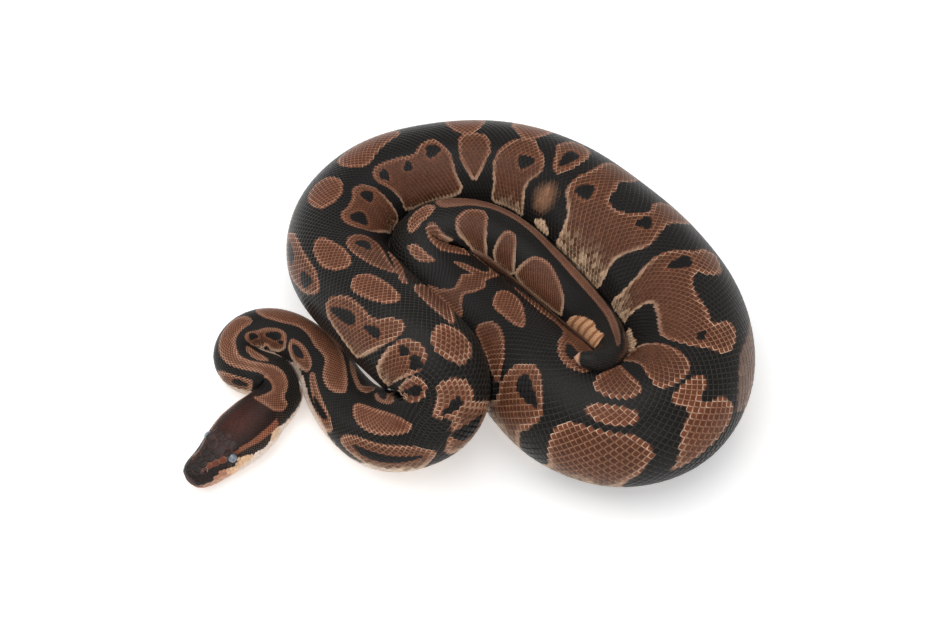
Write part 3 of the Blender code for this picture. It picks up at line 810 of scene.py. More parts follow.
def coatColour(places, angles, jitter, spread=0.1, stretch=1.0):
    # colour of the middle and of the edge of a scale at each place
    count, steep, look = len(places), np.abs(angles), blotchLook
    (holeFrom, holeTo), wobble = look["spotEdge"], look["spotWobble"]
    tone, kept = np.tile(tones["ground"], (count, 1)), np.zeros(count)
    apart = softStep(0.75, 1.35, stretch * np.ones(count))      # pale skin shows where the scales stand apart
    # the black scales' edges are painted lighter: partly a painted highlight along each rim, partly pale skin
    # where the scales stand apart
    edge = mix(tone * 1.3, tones["groundEdgeSkinAndSheen"], 0.12 + 0.38 * apart)
    for kind, outline, *spots in blotches:
        mark = np.array(outline, float)
        near = (places > mark[:, 0].min() - 4) & (places < mark[:, 0].max() + 4)
        near &= (angles > mark[:, 1].min() - 12) & (angles < mark[:, 1].max() + 12)
        if not near.any():
            continue
        deep = depthInside(outline, places[near], angles[near], float(halfWidthAt(mark[:, 0].mean())))
        within = softStep(-spread - 0.05, spread + 0.05, deep)
        main, tip = blotchColour(kind, places[near], angles[near], deep, jitter[near], apart[near])
        for place, angle, long, broad in spots:
            x, y = (places[near] - place) / long, (angles[near] - angle) / broad
            r = np.hypot(x, y) * (1 + wobble * np.sin(3 * np.arctan2(y, x) + place))
            hole = 1 - softStep(holeFrom - spread * 0.1, holeTo + spread * 0.1, r)
            halo = (1 - softStep(*look["spotHalo"], r)) * (1 - hole) * look["haloStrength"]
            main, tip = mix(main, tones["amber"], halo), mix(tip, tones["peach"], halo)
            main, tip = mix(main, tones["ground"], hole), mix(tip, tones["ground"] * 1.7, hole)
        tone[near], edge[near] = mix(tone[near], main, within), mix(edge[near], tip, within)
        kept[near] = np.maximum(kept[near], within)
    look, soft = bellyLook, bellyLook["softness"] + spread
    pale = softStep(-soft, soft, steep - bellyLineAt(places) + look["unevenness"] * (jitter - 0.5))
    pale = np.where(places < look["from"], 0.0, pale)
    pale = pale * (1 - look["overBlotch"] * kept * (1 - softStep(118, 134, steep)))
    # painted shade: the pale belly is darkened where it lies in the neck's bend
    middle, reach, strength = look["shaded"]
    dim = strength * np.exp(-((places - middle) / reach) ** 2) * (1 - softStep(86, 100, steep))
    belly = mix(varied(tones["belly"], 0.9, 0.14, jitter), tones["paintedShadeBelly"], dim)
    tone, edge = mix(tone, belly, pale), mix(edge, belly * 1.02, pale)
    fore = places < head["end"]
    if fore.any():
        tone[fore], edge[fore] = headColour(places[fore], angles[fore], tone[fore], edge[fore], jitter[fore],
                                            kept[fore], spread)
    return tone, edge


# ---- finishes

finish = {
    "mottleScale": 700.0,       # per metre
    "grainScale": 4200.0,
    "cloudScale": 70.0,
    "bumpStrength": 0.6,
    "tipAt": (-0.15, 0.35),     # where along a scale its pale rim grows stronger
    # name, roughness, mottle, depth of the bumps, coat, its roughness, specular level, and where the rim is
    "looks": {
        "skin": ("suppleSkin", 0.55, 0.35, 0.00006, 0.0, 0.3, 0.25, (0.7, 0.88)),
        "scales": ("smoothScales", 0.32, 0.32, 0.00003, 0.0, 0.28, 0.13, (0.7, 0.88)),
        "plates": ("headPlates", 0.33, 0.35, 0.00003, 0.0, 0.25, 0.22, (0.86, 0.98)),
        "belly": ("bellyPlates", 0.32, 0.15, 0.00003, 0.08, 0.3, 0.4, (0.7, 0.88)),
    },
    # name, roughness, mottle, its scale and the grain's, and the roughness of the wet coat
    "eye": ("cloudedEye", 0.24, 0.28, 900.0, 5200.0, 0.04),
}


def addSockets(tree, way, sockets):
    # name, kind and, where it has one, the value it starts with
    for name, kind, *value in sockets:
        socket = tree.interface.new_socket(name=name, in_out=way, socket_type="NodeSocket" + kind)
        if value:
            socket.default_value = value[0]


def noise(tree, vector, scale, detail=2.0):
    return addNode(tree, "ShaderNodeTexNoise", {"Vector": vector, "Scale": scale, "Detail": detail}, "Fac")


def scaledVector(tree, vector, factor):
    return addNode(tree, "ShaderNodeVectorMath", {0: vector, "Scale": factor}, operation="SCALE")


def makeCoatGroup():
    # shared by the coat and the eyes: a pale rim, fine mottle, broad clouds, fine bumps and uneven gloss
    group = bpy.data.node_groups.new("coatTint", "ShaderNodeTree")
    grey = (0.5, 0.5, 0.5, 1)
    addSockets(group, "INPUT", [("Tone", "Color", grey), ("Edge Tone", "Color", grey), ("Rim", "Float", 0.0),
                                ("Tip", "Float", 0.0), ("Mottle", "Float", 0.3),
                                ("Mottle Scale", "Float", finish["mottleScale"]),
                                ("Grain Scale", "Float", finish["grainScale"])])
    addSockets(group, "OUTPUT", [("Color", "Color"), ("Height", "Float"), ("Gloss", "Float")])
    given = group.nodes.new("NodeGroupInput").outputs
    place = addNode(group, "ShaderNodeTexCoord", out="Object")
    fine = noise(group, place, given["Grain Scale"], 3.0)
    broad = noise(group, place, given["Mottle Scale"])
    cloud = noise(group, place, finish["cloudScale"])
    rim = mathNode(group, "MULTIPLY", given["Rim"], remap(group, given["Tip"], 0, 1, 0.5, 1.0))
    rim = mathNode(group, "MULTIPLY", rim, remap(group, broad, 0.3, 0.7, 0.65, 1.0))
    colour = addNode(group, "ShaderNodeMix", {0: rim, 6: given["Tone"], 7: given["Edge Tone"]}, 2,
                     data_type="RGBA")
    shade = mathNode(group, "MULTIPLY", mathNode(group, "SUBTRACT", broad, 0.5), given["Mottle"])
    shade = mathNode(group, "ADD", shade, remap(group, cloud, 0.25, 0.75, 0.9, 1.1))
    shade = mathNode(group, "ADD", shade, remap(group, fine, 0.3, 0.7, -0.05, 0.05))
    height = mathNode(group, "ADD", mathNode(group, "MULTIPLY", fine, 0.4), broad)
    fillNode(group, group.nodes.new("NodeGroupOutput"),
             {"Color": scaledVector(group, colour, shade), "Height": height,
              "Gloss": remap(group, broad, 0.3, 0.7, -0.04, 0.05)})
    return group


coatGroup = makeCoatGroup()


def attribute(tree, name, out="Color"):
    return addNode(tree, "ShaderNodeAttribute", out=out, attribute_name=name)


def placeCoatGroup(tree, shader, roughness, mottle, mottleScale, grainScale):
    # the shared group in one material, feeding its colour and roughness
    tint = tree.nodes.new("ShaderNodeGroup")
    tint.node_tree = coatGroup
    fillNode(tree, tint, {"Tone": attribute(tree, "tone"), "Edge Tone": attribute(tree, "edgeTone"),
                          "Mottle": mottle, "Mottle Scale": mottleScale, "Grain Scale": grainScale})
    fillNode(tree, shader, {"Base Color": tint.outputs["Color"],
                            "Roughness": mathNode(tree, "ADD", tint.outputs["Gloss"], roughness)})
    return tint


def coatMaterial(name, roughness, mottle, bumpDepth, coat, coatRoughness, specular, rim):
    material, tree, shader = newMaterial(name)
    tint = placeCoatGroup(tree, shader, roughness, mottle, finish["mottleScale"], finish["grainScale"])
    leaf = fillNode(tree, tree.nodes.new("ShaderNodeSeparateXYZ"), {0: attribute(tree, "leaf", "Vector")})
    fillNode(tree, tint, {"Rim": remap(tree, leaf.outputs["Z"], *rim, 0.0, 1.0),
                          "Tip": remap(tree, leaf.outputs["Y"], *finish["tipAt"], 0.0, 1.0)})
    bumps = addNode(tree, "ShaderNodeBump", {"Distance": bumpDepth, "Strength": finish["bumpStrength"],
                                             "Height": tint.outputs["Height"]})
    fillNode(tree, shader, {"Normal": bumps, "Coat Weight": coat, "Coat Roughness": coatRoughness,
                            "Specular IOR Level": specular})
    return material


def eyeMaterial(name, roughness, mottle, mottleScale, grainScale, coatRoughness):
    material, tree, shader = newMaterial(name)
    placeCoatGroup(tree, shader, roughness, mottle, mottleScale, grainScale)
    fillNode(tree, shader, {"Coat Weight": 1.0, "Coat Roughness": coatRoughness})
    return material


materials = {key: coatMaterial(*look) for key, look in finish["looks"].items()}
materials["eye"] = eyeMaterial(*finish["eye"])
print("materials ready")


def store(mesh, key, values):
    # tone and edgeTone are colours, the rest are places; materials and nodes read them from the mesh's points
    values, kind, field = np.asarray(values, float), "FLOAT_VECTOR", "vector"
    if key in ("tone", "edgeTone"):
        values, kind, field = np.column_stack([values, np.ones(len(values))]), "FLOAT_COLOR", "color"
    mesh.attributes.new(key, kind, "POINT").data.foreach_set(field, values.ravel())


def makePiece(name, points, faces, material, attributes, patches=None):
    mesh = bpy.data.meshes.new(name)
    mesh.from_pydata((np.asarray(points) * mm).tolist(), [], faces)
    for key, values in attributes.items():
        store(mesh, key, values)
    if patches is not None:
        corners = np.zeros(len(mesh.loops), int)
        mesh.loops.foreach_get("vertex_index", corners)
        layer = mesh.uv_layers.new(name="OFBake")
        layer.data.foreach_set("uv", np.asarray(patches, float)[corners].ravel())
    mesh.materials.append(material)
    mesh.shade_smooth()
    mesh.update()
    return addObject(name, mesh)


# ---- one skin over all the flesh

fleshNodes = [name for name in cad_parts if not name.startswith("eye")]


def skinRings():
    # fine rings on the head, every second ring and column on the body
    headRows = [i for i, s in enumerate(stations) if s < head["end"] - 0.01]
    bodyRows = list(range(len(headRows), len(stations), 2))
    if bodyRows[-1] != len(stations) - 1:
        bodyRows.append(len(stations) - 1)
    return headRows, bodyRows


def buildSkin():
    headRows, bodyRows = skinRings()
    wide, half = grid["columns"], grid["columns"] // 2

    def kept(field):
        # the field at the rings that the skin uses
        size = (-1, 3) if field.ndim == 3 else -1
        return [field[headRows].reshape(size), field[bodyRows][:, ::2].reshape(size)]

    faces = []

    def quads(start, count, size):
        for i in range(count - 1):
            a, b = start + i * size, start + (i + 1) * size
            faces.extend((a + j, b + j, b + (j + 1) % size, a + (j + 1) % size) for j in range(size))

    bodyStart = len(headRows) * wide
    quads(0, len(headRows), wide)
    quads(bodyStart, len(bodyRows), half)
    last = bodyStart - wide
    for j in range(half):
        a, b, c = last + 2 * j, last + 2 * j + 1, last + (2 * j + 2) % wide
        d, e = bodyStart + j, bodyStart + (j + 1) % half
        faces.extend([(a, d, b), (b, d, e), (b, e, c)])
    points = np.concatenate(kept(skinGrid))
    total = len(points)
    points = np.concatenate([points, [points[:wide].mean(axis=0)], [points[-half:].mean(axis=0)]])
    faces.extend((total, j, (j + 1) % wide) for j in range(wide))
    end = total - half
    faces.extend((total + 1, end + (j + 1) % half, end + j) for j in range(half))
    where = np.concatenate(kept(placeGrid) + [[0.0, bodyEnd]])
    turn = np.concatenate(kept(angleGrid) + [[0.0, 0.0]])
    tone, edge = coatColour(where, turn, np.random.default_rng(randomSeeds["skin"]).random(len(where)), 0.35)
    onCrown = (1 - past("crownSeams", where)) * (1 - softStep(84, 100, np.abs(turn)))
    marked = softStep(0.035, 0.09, tone.mean(axis=1))
    seam = mix(tone * 0.7, tones["peach"], marked * 0.75)
    seam = mix(seam, tones["crownSeam"], onCrown * 0.8)
    # painted shade: the skin is darkened where it sinks into the head's hollows, the eye sockets, nostrils,
    # lip pits, loreal dip and mouth groove
    creases = np.concatenate([liftGrid[headRows].ravel(), np.zeros(len(bodyRows) * half), [0, 0]])
    seam = mix(seam, tones["dark"] * 0.5, softStep(0.3, 0.7, -creases))
    skin = makePiece("skin", points, faces, materials["skin"],
                     {"tone": seam, "edgeTone": edge, "leaf": np.zeros((len(points), 3))})
    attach(skin, "root")
    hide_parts(*fleshNodes)
    return skin, points, faces


skin, skinPoints, skinFaces = buildSkin()
print("skin:", len(skin.data.polygons), "faces")

# ---- body scales

scales = {
    "from": 26.0,
    "headPeriods": ((26, 60), (1.25, 1.7)),         # distance from the snout, and from row to row
    "trunkPeriod": (1.06, 0.052),                   # least, and more for each mm of half width
    "rowAngle": 3.1,            # between rows along the back
    "rowGrowth": 0.0281,        # more from each row to the next, down the flanks
    "rowsPerSide": 36,
    "tailFrom": 972.0,
    "tailEnd": 5.0,             # before the tip
    "tailGrowth": 0.8,
    "widthInRows": (1.5, 2.1),  # where squeezed, where at rest
    "lengthInPeriods": 1.32,
    "stretch": (0.45, 1.25),    # least and most that a scale's length follows
    "widest": 1.3,              # of the width on a straight length
    "crowded": (0.5, 0.46),     # below this stretch, scales closer than this part of a period are left out
    "rise": (0.28, 0.5),        # of the rim over the skin at the root, and more at the rear edge
    "dome": (0.13, 0.17),       # over the rim at the middle ring, and at the top
    "middleRing": 0.66,
    "tuck": (0.93, 0.42),       # the edge underneath: its width, and how far below the rim
    "colourShare": 0.55,        # how much a scale's corners take the colour of their own place
    "patch": 0.003,
    "perPiece": 4600,
    "nearHead": 6000,           # the first roots, which head plates may take the place of
    "plateGap": 0.35,
    "sizeVariation": 0.035,
    "turnVariation": radians(2.0),
    "seed": 11,
}


def periodAt(places):
    least, growth = scales["trunkPeriod"]
    trunk = least + growth * halfWidthAt(places) + scales["tailGrowth"] * past("tailScales", places)
    return np.where(places < head["end"], np.interp(places, *scales["headPeriods"]), trunk)


def scaleRoots():
    # rows along the body, every other one half a step back, wider apart down the flanks
    steps = [scales["from"]]
    while steps[-1] < bodyEnd - scales["tailEnd"]:
        steps.append(steps[-1] + float(periodAt(np.array([steps[-1]]))[0]) / 2)
    places, angles, spacing = [], [], []
    for i, s in enumerate(steps):
        apart = 2 if s > scales["tailFrom"] else 1
        limit = scales["rowsPerSide"] // apart
        rows = np.arange(-limit, limit + 1)
        rows = rows[(rows + i) % 2 == 0] * apart
        places.append(np.full(len(rows), s))
        angles.append(rows * (scales["rowAngle"] + scales["rowGrowth"] * np.abs(rows)))
        spacing.append((scales["rowAngle"] + 2 * scales["rowGrowth"] * np.abs(rows)) * apart)
    return np.concatenate(places), np.concatenate(angles), np.concatenate(spacing)


def notCrowded(point, stretch, period):
    # where a bend squeezes the rows together, some of the scales are left out
    limit, share = scales["crowded"]
    tree = KDTree(len(point))
    for i, spot in enumerate(point):
        tree.insert(spot, i)
    tree.balance()
    kept = np.ones(len(point), bool)
    for i in np.nonzero(stretch < limit)[0]:
        if kept[i]:
            for _, j, _ in tree.find_range(point[i], float(share * period[i])):
                if j > i:
                    kept[j] = False
    return kept


def tangentAt(places, angles, step=0.8):
    ahead = sample(skinGrid, np.minimum(places + step, bodyEnd - 0.01), angles)
    behind = sample(skinGrid, np.maximum(places - step, 0.0), angles)
    way = ahead - behind
    size = np.linalg.norm(way, axis=-1)
    return way / (size[..., None] + 1e-9), size / (2 * step)


def scaleShape():
    # domed rounded diamond, one unit long, root at -Y, rim tucked under
    rim = np.array([(0, 0.5), (0.28, 0.28), (0.5, 0.02), (0.27, -0.26), (0, -0.5), (-0.27, -0.26),
                    (-0.5, 0.02), (-0.28, 0.28)])
    count, inner, (low, slope) = len(rim), scales["middleRing"], scales["rise"]
    (dome, top), (width, drop) = scales["dome"], scales["tuck"]
    middle = np.column_stack([rim * inner, low + slope * (rim[:, 1] * inner + 0.5) + dome])
    rise = low + slope * (rim[:, 1] + 0.5)
    under = np.column_stack([rim * width, rise - drop])
    points = np.concatenate([[(0, 0, low + slope / 2 + top)], middle, np.column_stack([rim, rise]), under])
    radial = np.concatenate([[0], np.full(count, inner), np.full(2 * count, 1.0)])
    faces = []
    for i in range(count):
        j = (i + 1) % count
        faces += [(0, 1 + j, 1 + i)]
        for ring in (1, 1 + count):
            faces += [(ring + i, ring + j, ring + count + i), (ring + j, ring + count + j, ring + count + i)]
    mesh = bpy.data.meshes.new("scaleShape")
    mesh.from_pydata(points.tolist(), [], faces)
    store(mesh, "leaf", np.column_stack([points[:, :2], radial]))
    mesh.shade_smooth()
    return bpy.data.objects.new("scaleShape", mesh)


def makeScaleTree():
    tree = bpy.data.node_groups.new("layScales", "GeometryNodeTree")
    addSockets(tree, "INPUT", [("Geometry", "Geometry"), ("Scale Shape", "Object"),
                               ("Coat Material", "Material"), ("Size Variation", "Float"),
                               ("Turn Variation", "Float"), ("Patch Size", "Float"), ("Seed", "Int")])
    addSockets(tree, "OUTPUT", [("Geometry", "Geometry")])
    given = tree.nodes.new("NodeGroupInput").outputs

    def named(name):
        return addNode(tree, "GeometryNodeInputNamedAttribute", {"Name": name}, "Attribute",
                       data_type="FLOAT_VECTOR")

    def randomBetween(spread, middle, seedShift):
        low, high = (mathNode(tree, way, middle, spread) for way in ("SUBTRACT", "ADD"))
        seed = mathNode(tree, "ADD", given["Seed"], seedShift)
        return addNode(tree, "FunctionNodeRandomValue", {2: low, 3: high, "Seed": seed}, 1, data_type="FLOAT")

    stand = addNode(tree, "FunctionNodeAxesToRotation", {0: named("outward"), 1: named("lengthwise")},
                    primary_axis="Z", secondary_axis="Y")
    spin = addNode(tree, "ShaderNodeCombineXYZ", {"Z": randomBetween(given["Turn Variation"], 0.0, 1)})
    turn = addNode(tree, "FunctionNodeRotateRotation", {0: stand, 1: spin}, rotation_space="LOCAL")
    size = scaledVector(tree, named("measure"), randomBetween(given["Size Variation"], 1.0, 2))
    shape = addNode(tree, "GeometryNodeObjectInfo", {"Object": given["Scale Shape"]}, "Geometry")
    lay = addNode(tree, "GeometryNodeInstanceOnPoints", {"Points": given["Geometry"], "Instance": shape,
                                                         "Rotation": turn, "Scale": size})
    real = addNode(tree, "GeometryNodeRealizeInstances", {0: lay})
    patch = scaledVector(tree, named("leaf"), given["Patch Size"])
    spot = addNode(tree, "ShaderNodeVectorMath", {0: patch, 1: named("rootPlace")})
    stored = addNode(tree, "GeometryNodeStoreNamedAttribute",
                     {"Name": "OFBake", "Geometry": real, "Value": spot}, data_type="FLOAT2", domain="CORNER")
    finished = addNode(tree, "GeometryNodeSetMaterial",
                       {"Geometry": stored, "Material": given["Coat Material"]})
    fillNode(tree, tree.nodes.new("NodeGroupOutput"), {0: finished})
    return tree


def layScales(name, tree, shape, roots, seed):
    # one plain mesh of scales from a cloud of roots
    cloud = bpy.data.meshes.new(name + "Roots")
    cloud.from_pydata((roots.pop("point") * mm).tolist(), [], [])
    for key, values in roots.items():
        store(cloud, key, values)
    carrier = addObject(name + "Roots", cloud)
    modifier = carrier.modifiers.new("layScales", "NODES")
    modifier.node_group = tree
    values = {"Scale Shape": shape, "Coat Material": materials["scales"], "Patch Size": scales["patch"],
              "Size Variation": scales["sizeVariation"], "Turn Variation": scales["turnVariation"],
              "Seed": seed}
    for item in tree.interface.items_tree:
        if item.in_out == "INPUT" and item.name in values:
            modifier[item.identifier] = values[item.name]
    made = bpy.data.meshes.new_from_object(carrier.evaluated_get(bpy.context.evaluated_depsgraph_get()))
    carrier.modifiers.clear()
    bpy.data.objects.remove(carrier)
    made.name = name

    def readBack(data, key="vector"):
        values = np.zeros(len(made.vertices) * 3)
        data.foreach_get(key, values)
        return values.reshape(-1, 3)

    spots = readBack(made.vertices, "co")
    spots[:, 2] = np.maximum(spots[:, 2], 0.0)              # none dips into the table
    made.vertices.foreach_set("co", spots.ravel())
    leaf, rootAt, span = (readBack(made.attributes[key].data) for key in ("leaf", "rootAt", "span"))
    tone, edge = coatColour(rootAt[:, 0] + leaf[:, 1] * span[:, 1], rootAt[:, 1] - leaf[:, 0] * span[:, 0],
                            rootAt[:, 2], 0.1, span[:, 2])
    store(made, "tone", tone)
    store(made, "edgeTone", edge)
    for key in roots:
        if key in made.attributes:
            made.attributes.remove(made.attributes[key])
    piece = addObject(name, made)
    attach(piece, "root")


# ---- head plates; their places are on the right side, mirrored to the left where the angle isn't 0

plates = {
    "seeds": [                  # place, angle, width (mm) and tone
        (3.3, 17, 2.7, None), (3.0, 52, 2.4, None), (6.3, 10, 3.2, None), (5.6, 30, 2.3, None),
        (7.2, 38, 1.9, None), (9.2, 23.5, 2.3, "pale"), (7.0, 25.5, 1.5, "pale"), (10.7, 37, 2.0, None),
        (10.2, 8, 3.8, None), (11.7, 22.5, 3.0, "rust"), (14.8, 8.5, 4.4, None), (14.9, 28.0, 3.9, "rust"),
        (18.4, 34.5, 3.9, "rust"), (20.2, 10.5, 5.4, "crown"), (21.8, 27.5, 4.8, "crown"),
        (25.0, 9, 3.2, "crown"), (25.8, 20.5, 3.2, "crown"), (26.0, 31.0, 2.4, None),
    ],
    "middle": [(0.35, 180.0, 3.4, "rostral"), (2.4, 0.0, 2.0, None), (28.0, 0.0, 2.2, None)],
    "eyeRing": 10,
    "eyeRingRadius": 3.25,
    "eyeRingWidth": 1.5,
    "eyeRingTop": 2.2,          # the brow stands over the rest of the ring
    "eyeWidth": 5.0,            # kept free of plates, as the nostrils are
    "nostrilWidth": 1.3,
    "upperLips": (10, 2.6, 3.55, 3.1),              # how many, first place, step and width
    "lowerLips": (12, 1.9, 3.05, 2.5),
    "lipOffset": 1.35,          # from the mouth line
    "fillStart": 2.2,
    "fillStep": 1.7,
    "fillWidth": 1.8,
    "fillEnd": 27.0,
    "fillGap": 0.44,            # of the widths of the small plate and its neighbour
    "reach": 1.9,
    "neighbours": 9.0,          # how far off another plate can still cut this one
    "thickness": 0.17,
    "dome": 0.05,
    "corners": 28,
    "rings": [(1.0, -0.35), (0.95, 0.55), (0.82, 0.9), (0.5, 1.0), (0.0, 1.0)],     # share of width, lift
    "patchLength": 66.0,
}

# middle and edge of the plates with tones of their own; lips run from the first of their middles to the next
plateTones = {name: [paint(*colour) for colour in colours] for name, colours in {
    "leftSide": [(50, 32, 27), (120, 78, 64)],
    "pale": [(78, 48, 42), (236, 196, 176)],
    "crown": [(46, 31, 28), (112, 78, 68)],
    "rostral": [(52, 38, 36), (132, 88, 76)],
    "rust": [(120, 64, 42), (226, 184, 160)],
    "lip": [(104, 56, 47), (190, 142, 118), (236, 206, 184)],
    "rearLip": [(226, 176, 132), (236, 206, 172), (214, 200, 188), (236, 222, 208)],
    "lowerLip": [(196, 132, 112), (234, 216, 200), (240, 222, 206)],
}.items()}


def angleAtHeight(place, height):
    # on the right side of the ring, the angle where the form has this height
    angles = -np.linspace(2.0, 178.0, 353)
    z = sample(outer, np.full(len(angles), place), angles)[:, 2]
    order = np.argsort(z)
    return float(np.interp(height, z[order], angles[order]))


def plateSeeds():
    sides = [(s, -a, w, mark) for s, a, w, mark in plates["seeds"]]
    for lips, side in (("upperLips", 1), ("lowerLips", -1)):
        count, first, step, width = plates[lips]
        for i in range(count):
            s = first + step * i
            mark = "lowerLip" if side < 0 else "lip" if s < 17 else "rearLip"
            height = float(mouthHeightAt(s)) + side * plates["lipOffset"]
            sides.append((s, angleAtHeight(s, height), width, mark))
    (eyePlace, eyeAngle), (noseAt, noseAngle) = relief["eye"], relief["mounds"]["nostril"][:2]
    radius = plates["eyeRingRadius"]
    for i in range(plates["eyeRing"]):
        turn = 2 * pi * (i + 0.5) / plates["eyeRing"]
        across = sin(turn) * radius
        if across <= plates["eyeRingTop"]:
            angle = -eyeAngle + across / (float(headWidthAt(eyePlace)) * pi / 180)
            sides.append((eyePlace + cos(turn) * radius, angle, plates["eyeRingWidth"], "ring"))
    seeds = plates["middle"] + sides + [(s, -a, w, mark) for s, a, w, mark in sides]
    blocks = [(eyePlace, side * eyeAngle, plates["eyeWidth"], "eye") for side in (-1, 1)]
    blocks += [(noseAt, side * noseAngle, plates["nostrilWidth"], "nostril") for side in (-1, 1)]
    points = [sample(outer, s, a) for s, a, w, mark in seeds + blocks]
    widths = [w for s, a, w, mark in seeds + blocks]
    k, s, fill, halfTurn = 0, plates["fillStart"], plates["fillWidth"], np.linspace(0, 180, 721)
    while s < plates["fillEnd"]:
        arc = distances(sample(outer, np.full(721, s), halfTurn))
        for place in np.arange(fill / 2 if k % 2 else 0.0, arc[-1], fill):
            angle = float(np.interp(place, arc, halfTurn))
            point = sample(outer, s, angle)
            share = plates["fillGap"]
            if min(np.linalg.norm(point - p) - (w + fill) * share for p, w in zip(points, widths)) > 0:
                for side in ((1, -1) if 0.5 < angle < 179.5 else (1,)):
                    seeds.append((s, side * angle, fill, None))
        k, s = k + 1, s + plates["fillStep"]
    return seeds, blocks


def clipPolygon(polygon, normal, limit):
    made = []
    for a, b in zip(polygon, np.roll(polygon, -1, 0)):
        da, db = a @ normal - limit, b @ normal - limit
        if da <= 0:
            made.append(a)
        if (da <= 0) != (db <= 0):
            made.append(a + (b - a) * da / (da - db))
    return np.array(made) if len(made) > 2 else None


def evenOutline(polygon, count):
    closed = np.vstack([polygon, polygon[:1]])
    arc = distances(closed)
    t = np.linspace(0, arc[-1], count, endpoint=False)
    outline = columnsAt(t, arc, closed)
    return (np.roll(outline, 1, 0) + 4 * outline + np.roll(outline, -1, 0)) / 6


def plateFrame(s, angle, mark):
    # which ways are forward and sideways on one plate
    normal = -forwardWay[0] if mark == "rostral" else sample(skinNormal, max(s, 0.5), angle)
    way = forwardWay[int(s / 2)]
    ahead = way - normal * (way @ normal)
    if np.linalg.norm(ahead) < 0.3:
        ahead = backWay[0] - normal * (backWay[0] @ normal)
    ahead /= np.linalg.norm(ahead)
    return ahead, np.cross(normal, ahead)


def plateOutline(i, centres, radii, ahead, aside):
    # a round plate, cut straight where it meets each neighbour
    centre, reach = centres[i], radii[i]
    turns = np.linspace(0, 2 * pi, 16, endpoint=False)
    polygon = np.stack([np.cos(turns), np.sin(turns)], -1) * reach * plates["reach"]
    for j in np.nonzero(np.linalg.norm(centres - centre, axis=1) < plates["neighbours"])[0]:
        away = centres[j] - centre
        flat = np.array([away @ ahead, away @ aside])
        far = np.linalg.norm(flat)
        if j == i or np.linalg.norm(away) < 0.3 or far < 0.4 or polygon is None:
            continue
        flat *= np.linalg.norm(away) / far
        far = np.linalg.norm(flat)
        polygon = clipPolygon(polygon, flat / far, (far**2 + reach**2 - radii[j]**2) / (2 * far))
    return None if polygon is None else evenOutline(polygon, plates["corners"])


def plateTone(s, angle, mark, tone, edge, rng):
    # colour of one plate: some plates have a tone of their own
    if mark in ("rust", "pale") and angle > 0:
        mark = "leftSide"
    if mark not in plateTones:
        return tone, edge
    own, *others = plateTones[mark]
    rim = others[-1]
    if mark == "rust":
        return own * (0.62 + 0.2 * rng.random()), mix(own, rim, 0.45)
    if mark == "lip":
        own = mix(own, others[0], 0.3 * rng.random() + 0.7 * past("paleLip", s))
    if mark == "rearLip":
        own = mix(mix(own, others[0], rng.random()), others[1], past("rearLip", s))
    if mark == "lowerLip":
        own = mix(own, others[0], past("lowerLip", s))
    return own, rim


def buildHeadPlates():
    seeds, blocks = plateSeeds()
    centres = np.array([sample(skinGrid, s, a) for s, a, w, mark in seeds + blocks])
    radii = np.array([w for s, a, w, mark in seeds + blocks]) / 2
    skinTree = BVHTree.FromPolygons([tuple(p) for p in skinPoints], skinFaces)
    rng = np.random.default_rng(randomSeeds["plates"])
    toneAll, edgeAll = coatColour(*np.array([(s, a) for s, a, w, mark in seeds]).T, rng.random(len(seeds)))
    rng = np.random.default_rng(randomSeeds["plateTones"])
    points, faces, patches, kept = [], [], [], {"tone": [], "edgeTone": [], "leaf": []}
    rings, count = plates["rings"], plates["corners"]
    for i, (s, angle, _, mark) in enumerate(seeds):
        ahead, aside = plateFrame(s, angle, mark)
        outline = plateOutline(i, centres, radii, ahead, aside)
        if outline is None:
            continue
        start, middle, reach = len(points), outline.mean(axis=0), radii[i]
        around = max(2 * pi * float(headWidthAt(s)), 12.0)
        root = np.array([0.03 + s / plates["patchLength"], (angle + 180.0) / 360.0])
        for share, lift in rings:
            for p in (middle + (outline - middle) * share if share else [middle]):
                spot, face, *_ = skinTree.find_nearest(Vector(centres[i] + ahead * p[0] + aside * p[1]))
                high = lift * plates["thickness"] + plates["dome"] * (1 - share**2) * min(reach, 1.6)
                points.append(np.array(spot) + np.array(face) * high)
                kept["leaf"].append((p[1] / (2 * reach), p[0] / (2 * reach), share))
                patches.append(root + np.array([p[0] / plates["patchLength"], p[1] / around]) * 0.9)
        for ring in range(len(rings) - 2):
            a, b = start + ring * count, start + (ring + 1) * count
            faces += [(a + k, a + (k + 1) % count, b + (k + 1) % count, b + k) for k in range(count)]
        top = len(points) - 1
        faces += [(top - count + k, top - count + (k + 1) % count, top) for k in range(count)]
        tone, edge = plateTone(s, angle, mark, toneAll[i], edgeAll[i], rng)
        kept["tone"] += [tone] * (len(points) - start)
        kept["edgeTone"] += [edge] * (len(points) - start)
    headPlates = makePiece("headPlates", points, faces, materials["plates"], kept, patches)
    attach(headPlates, "root")
    print("head plates:", len(centres), "plates")
    return centres, radii


plateCentres, plateRadii = buildHeadPlates()


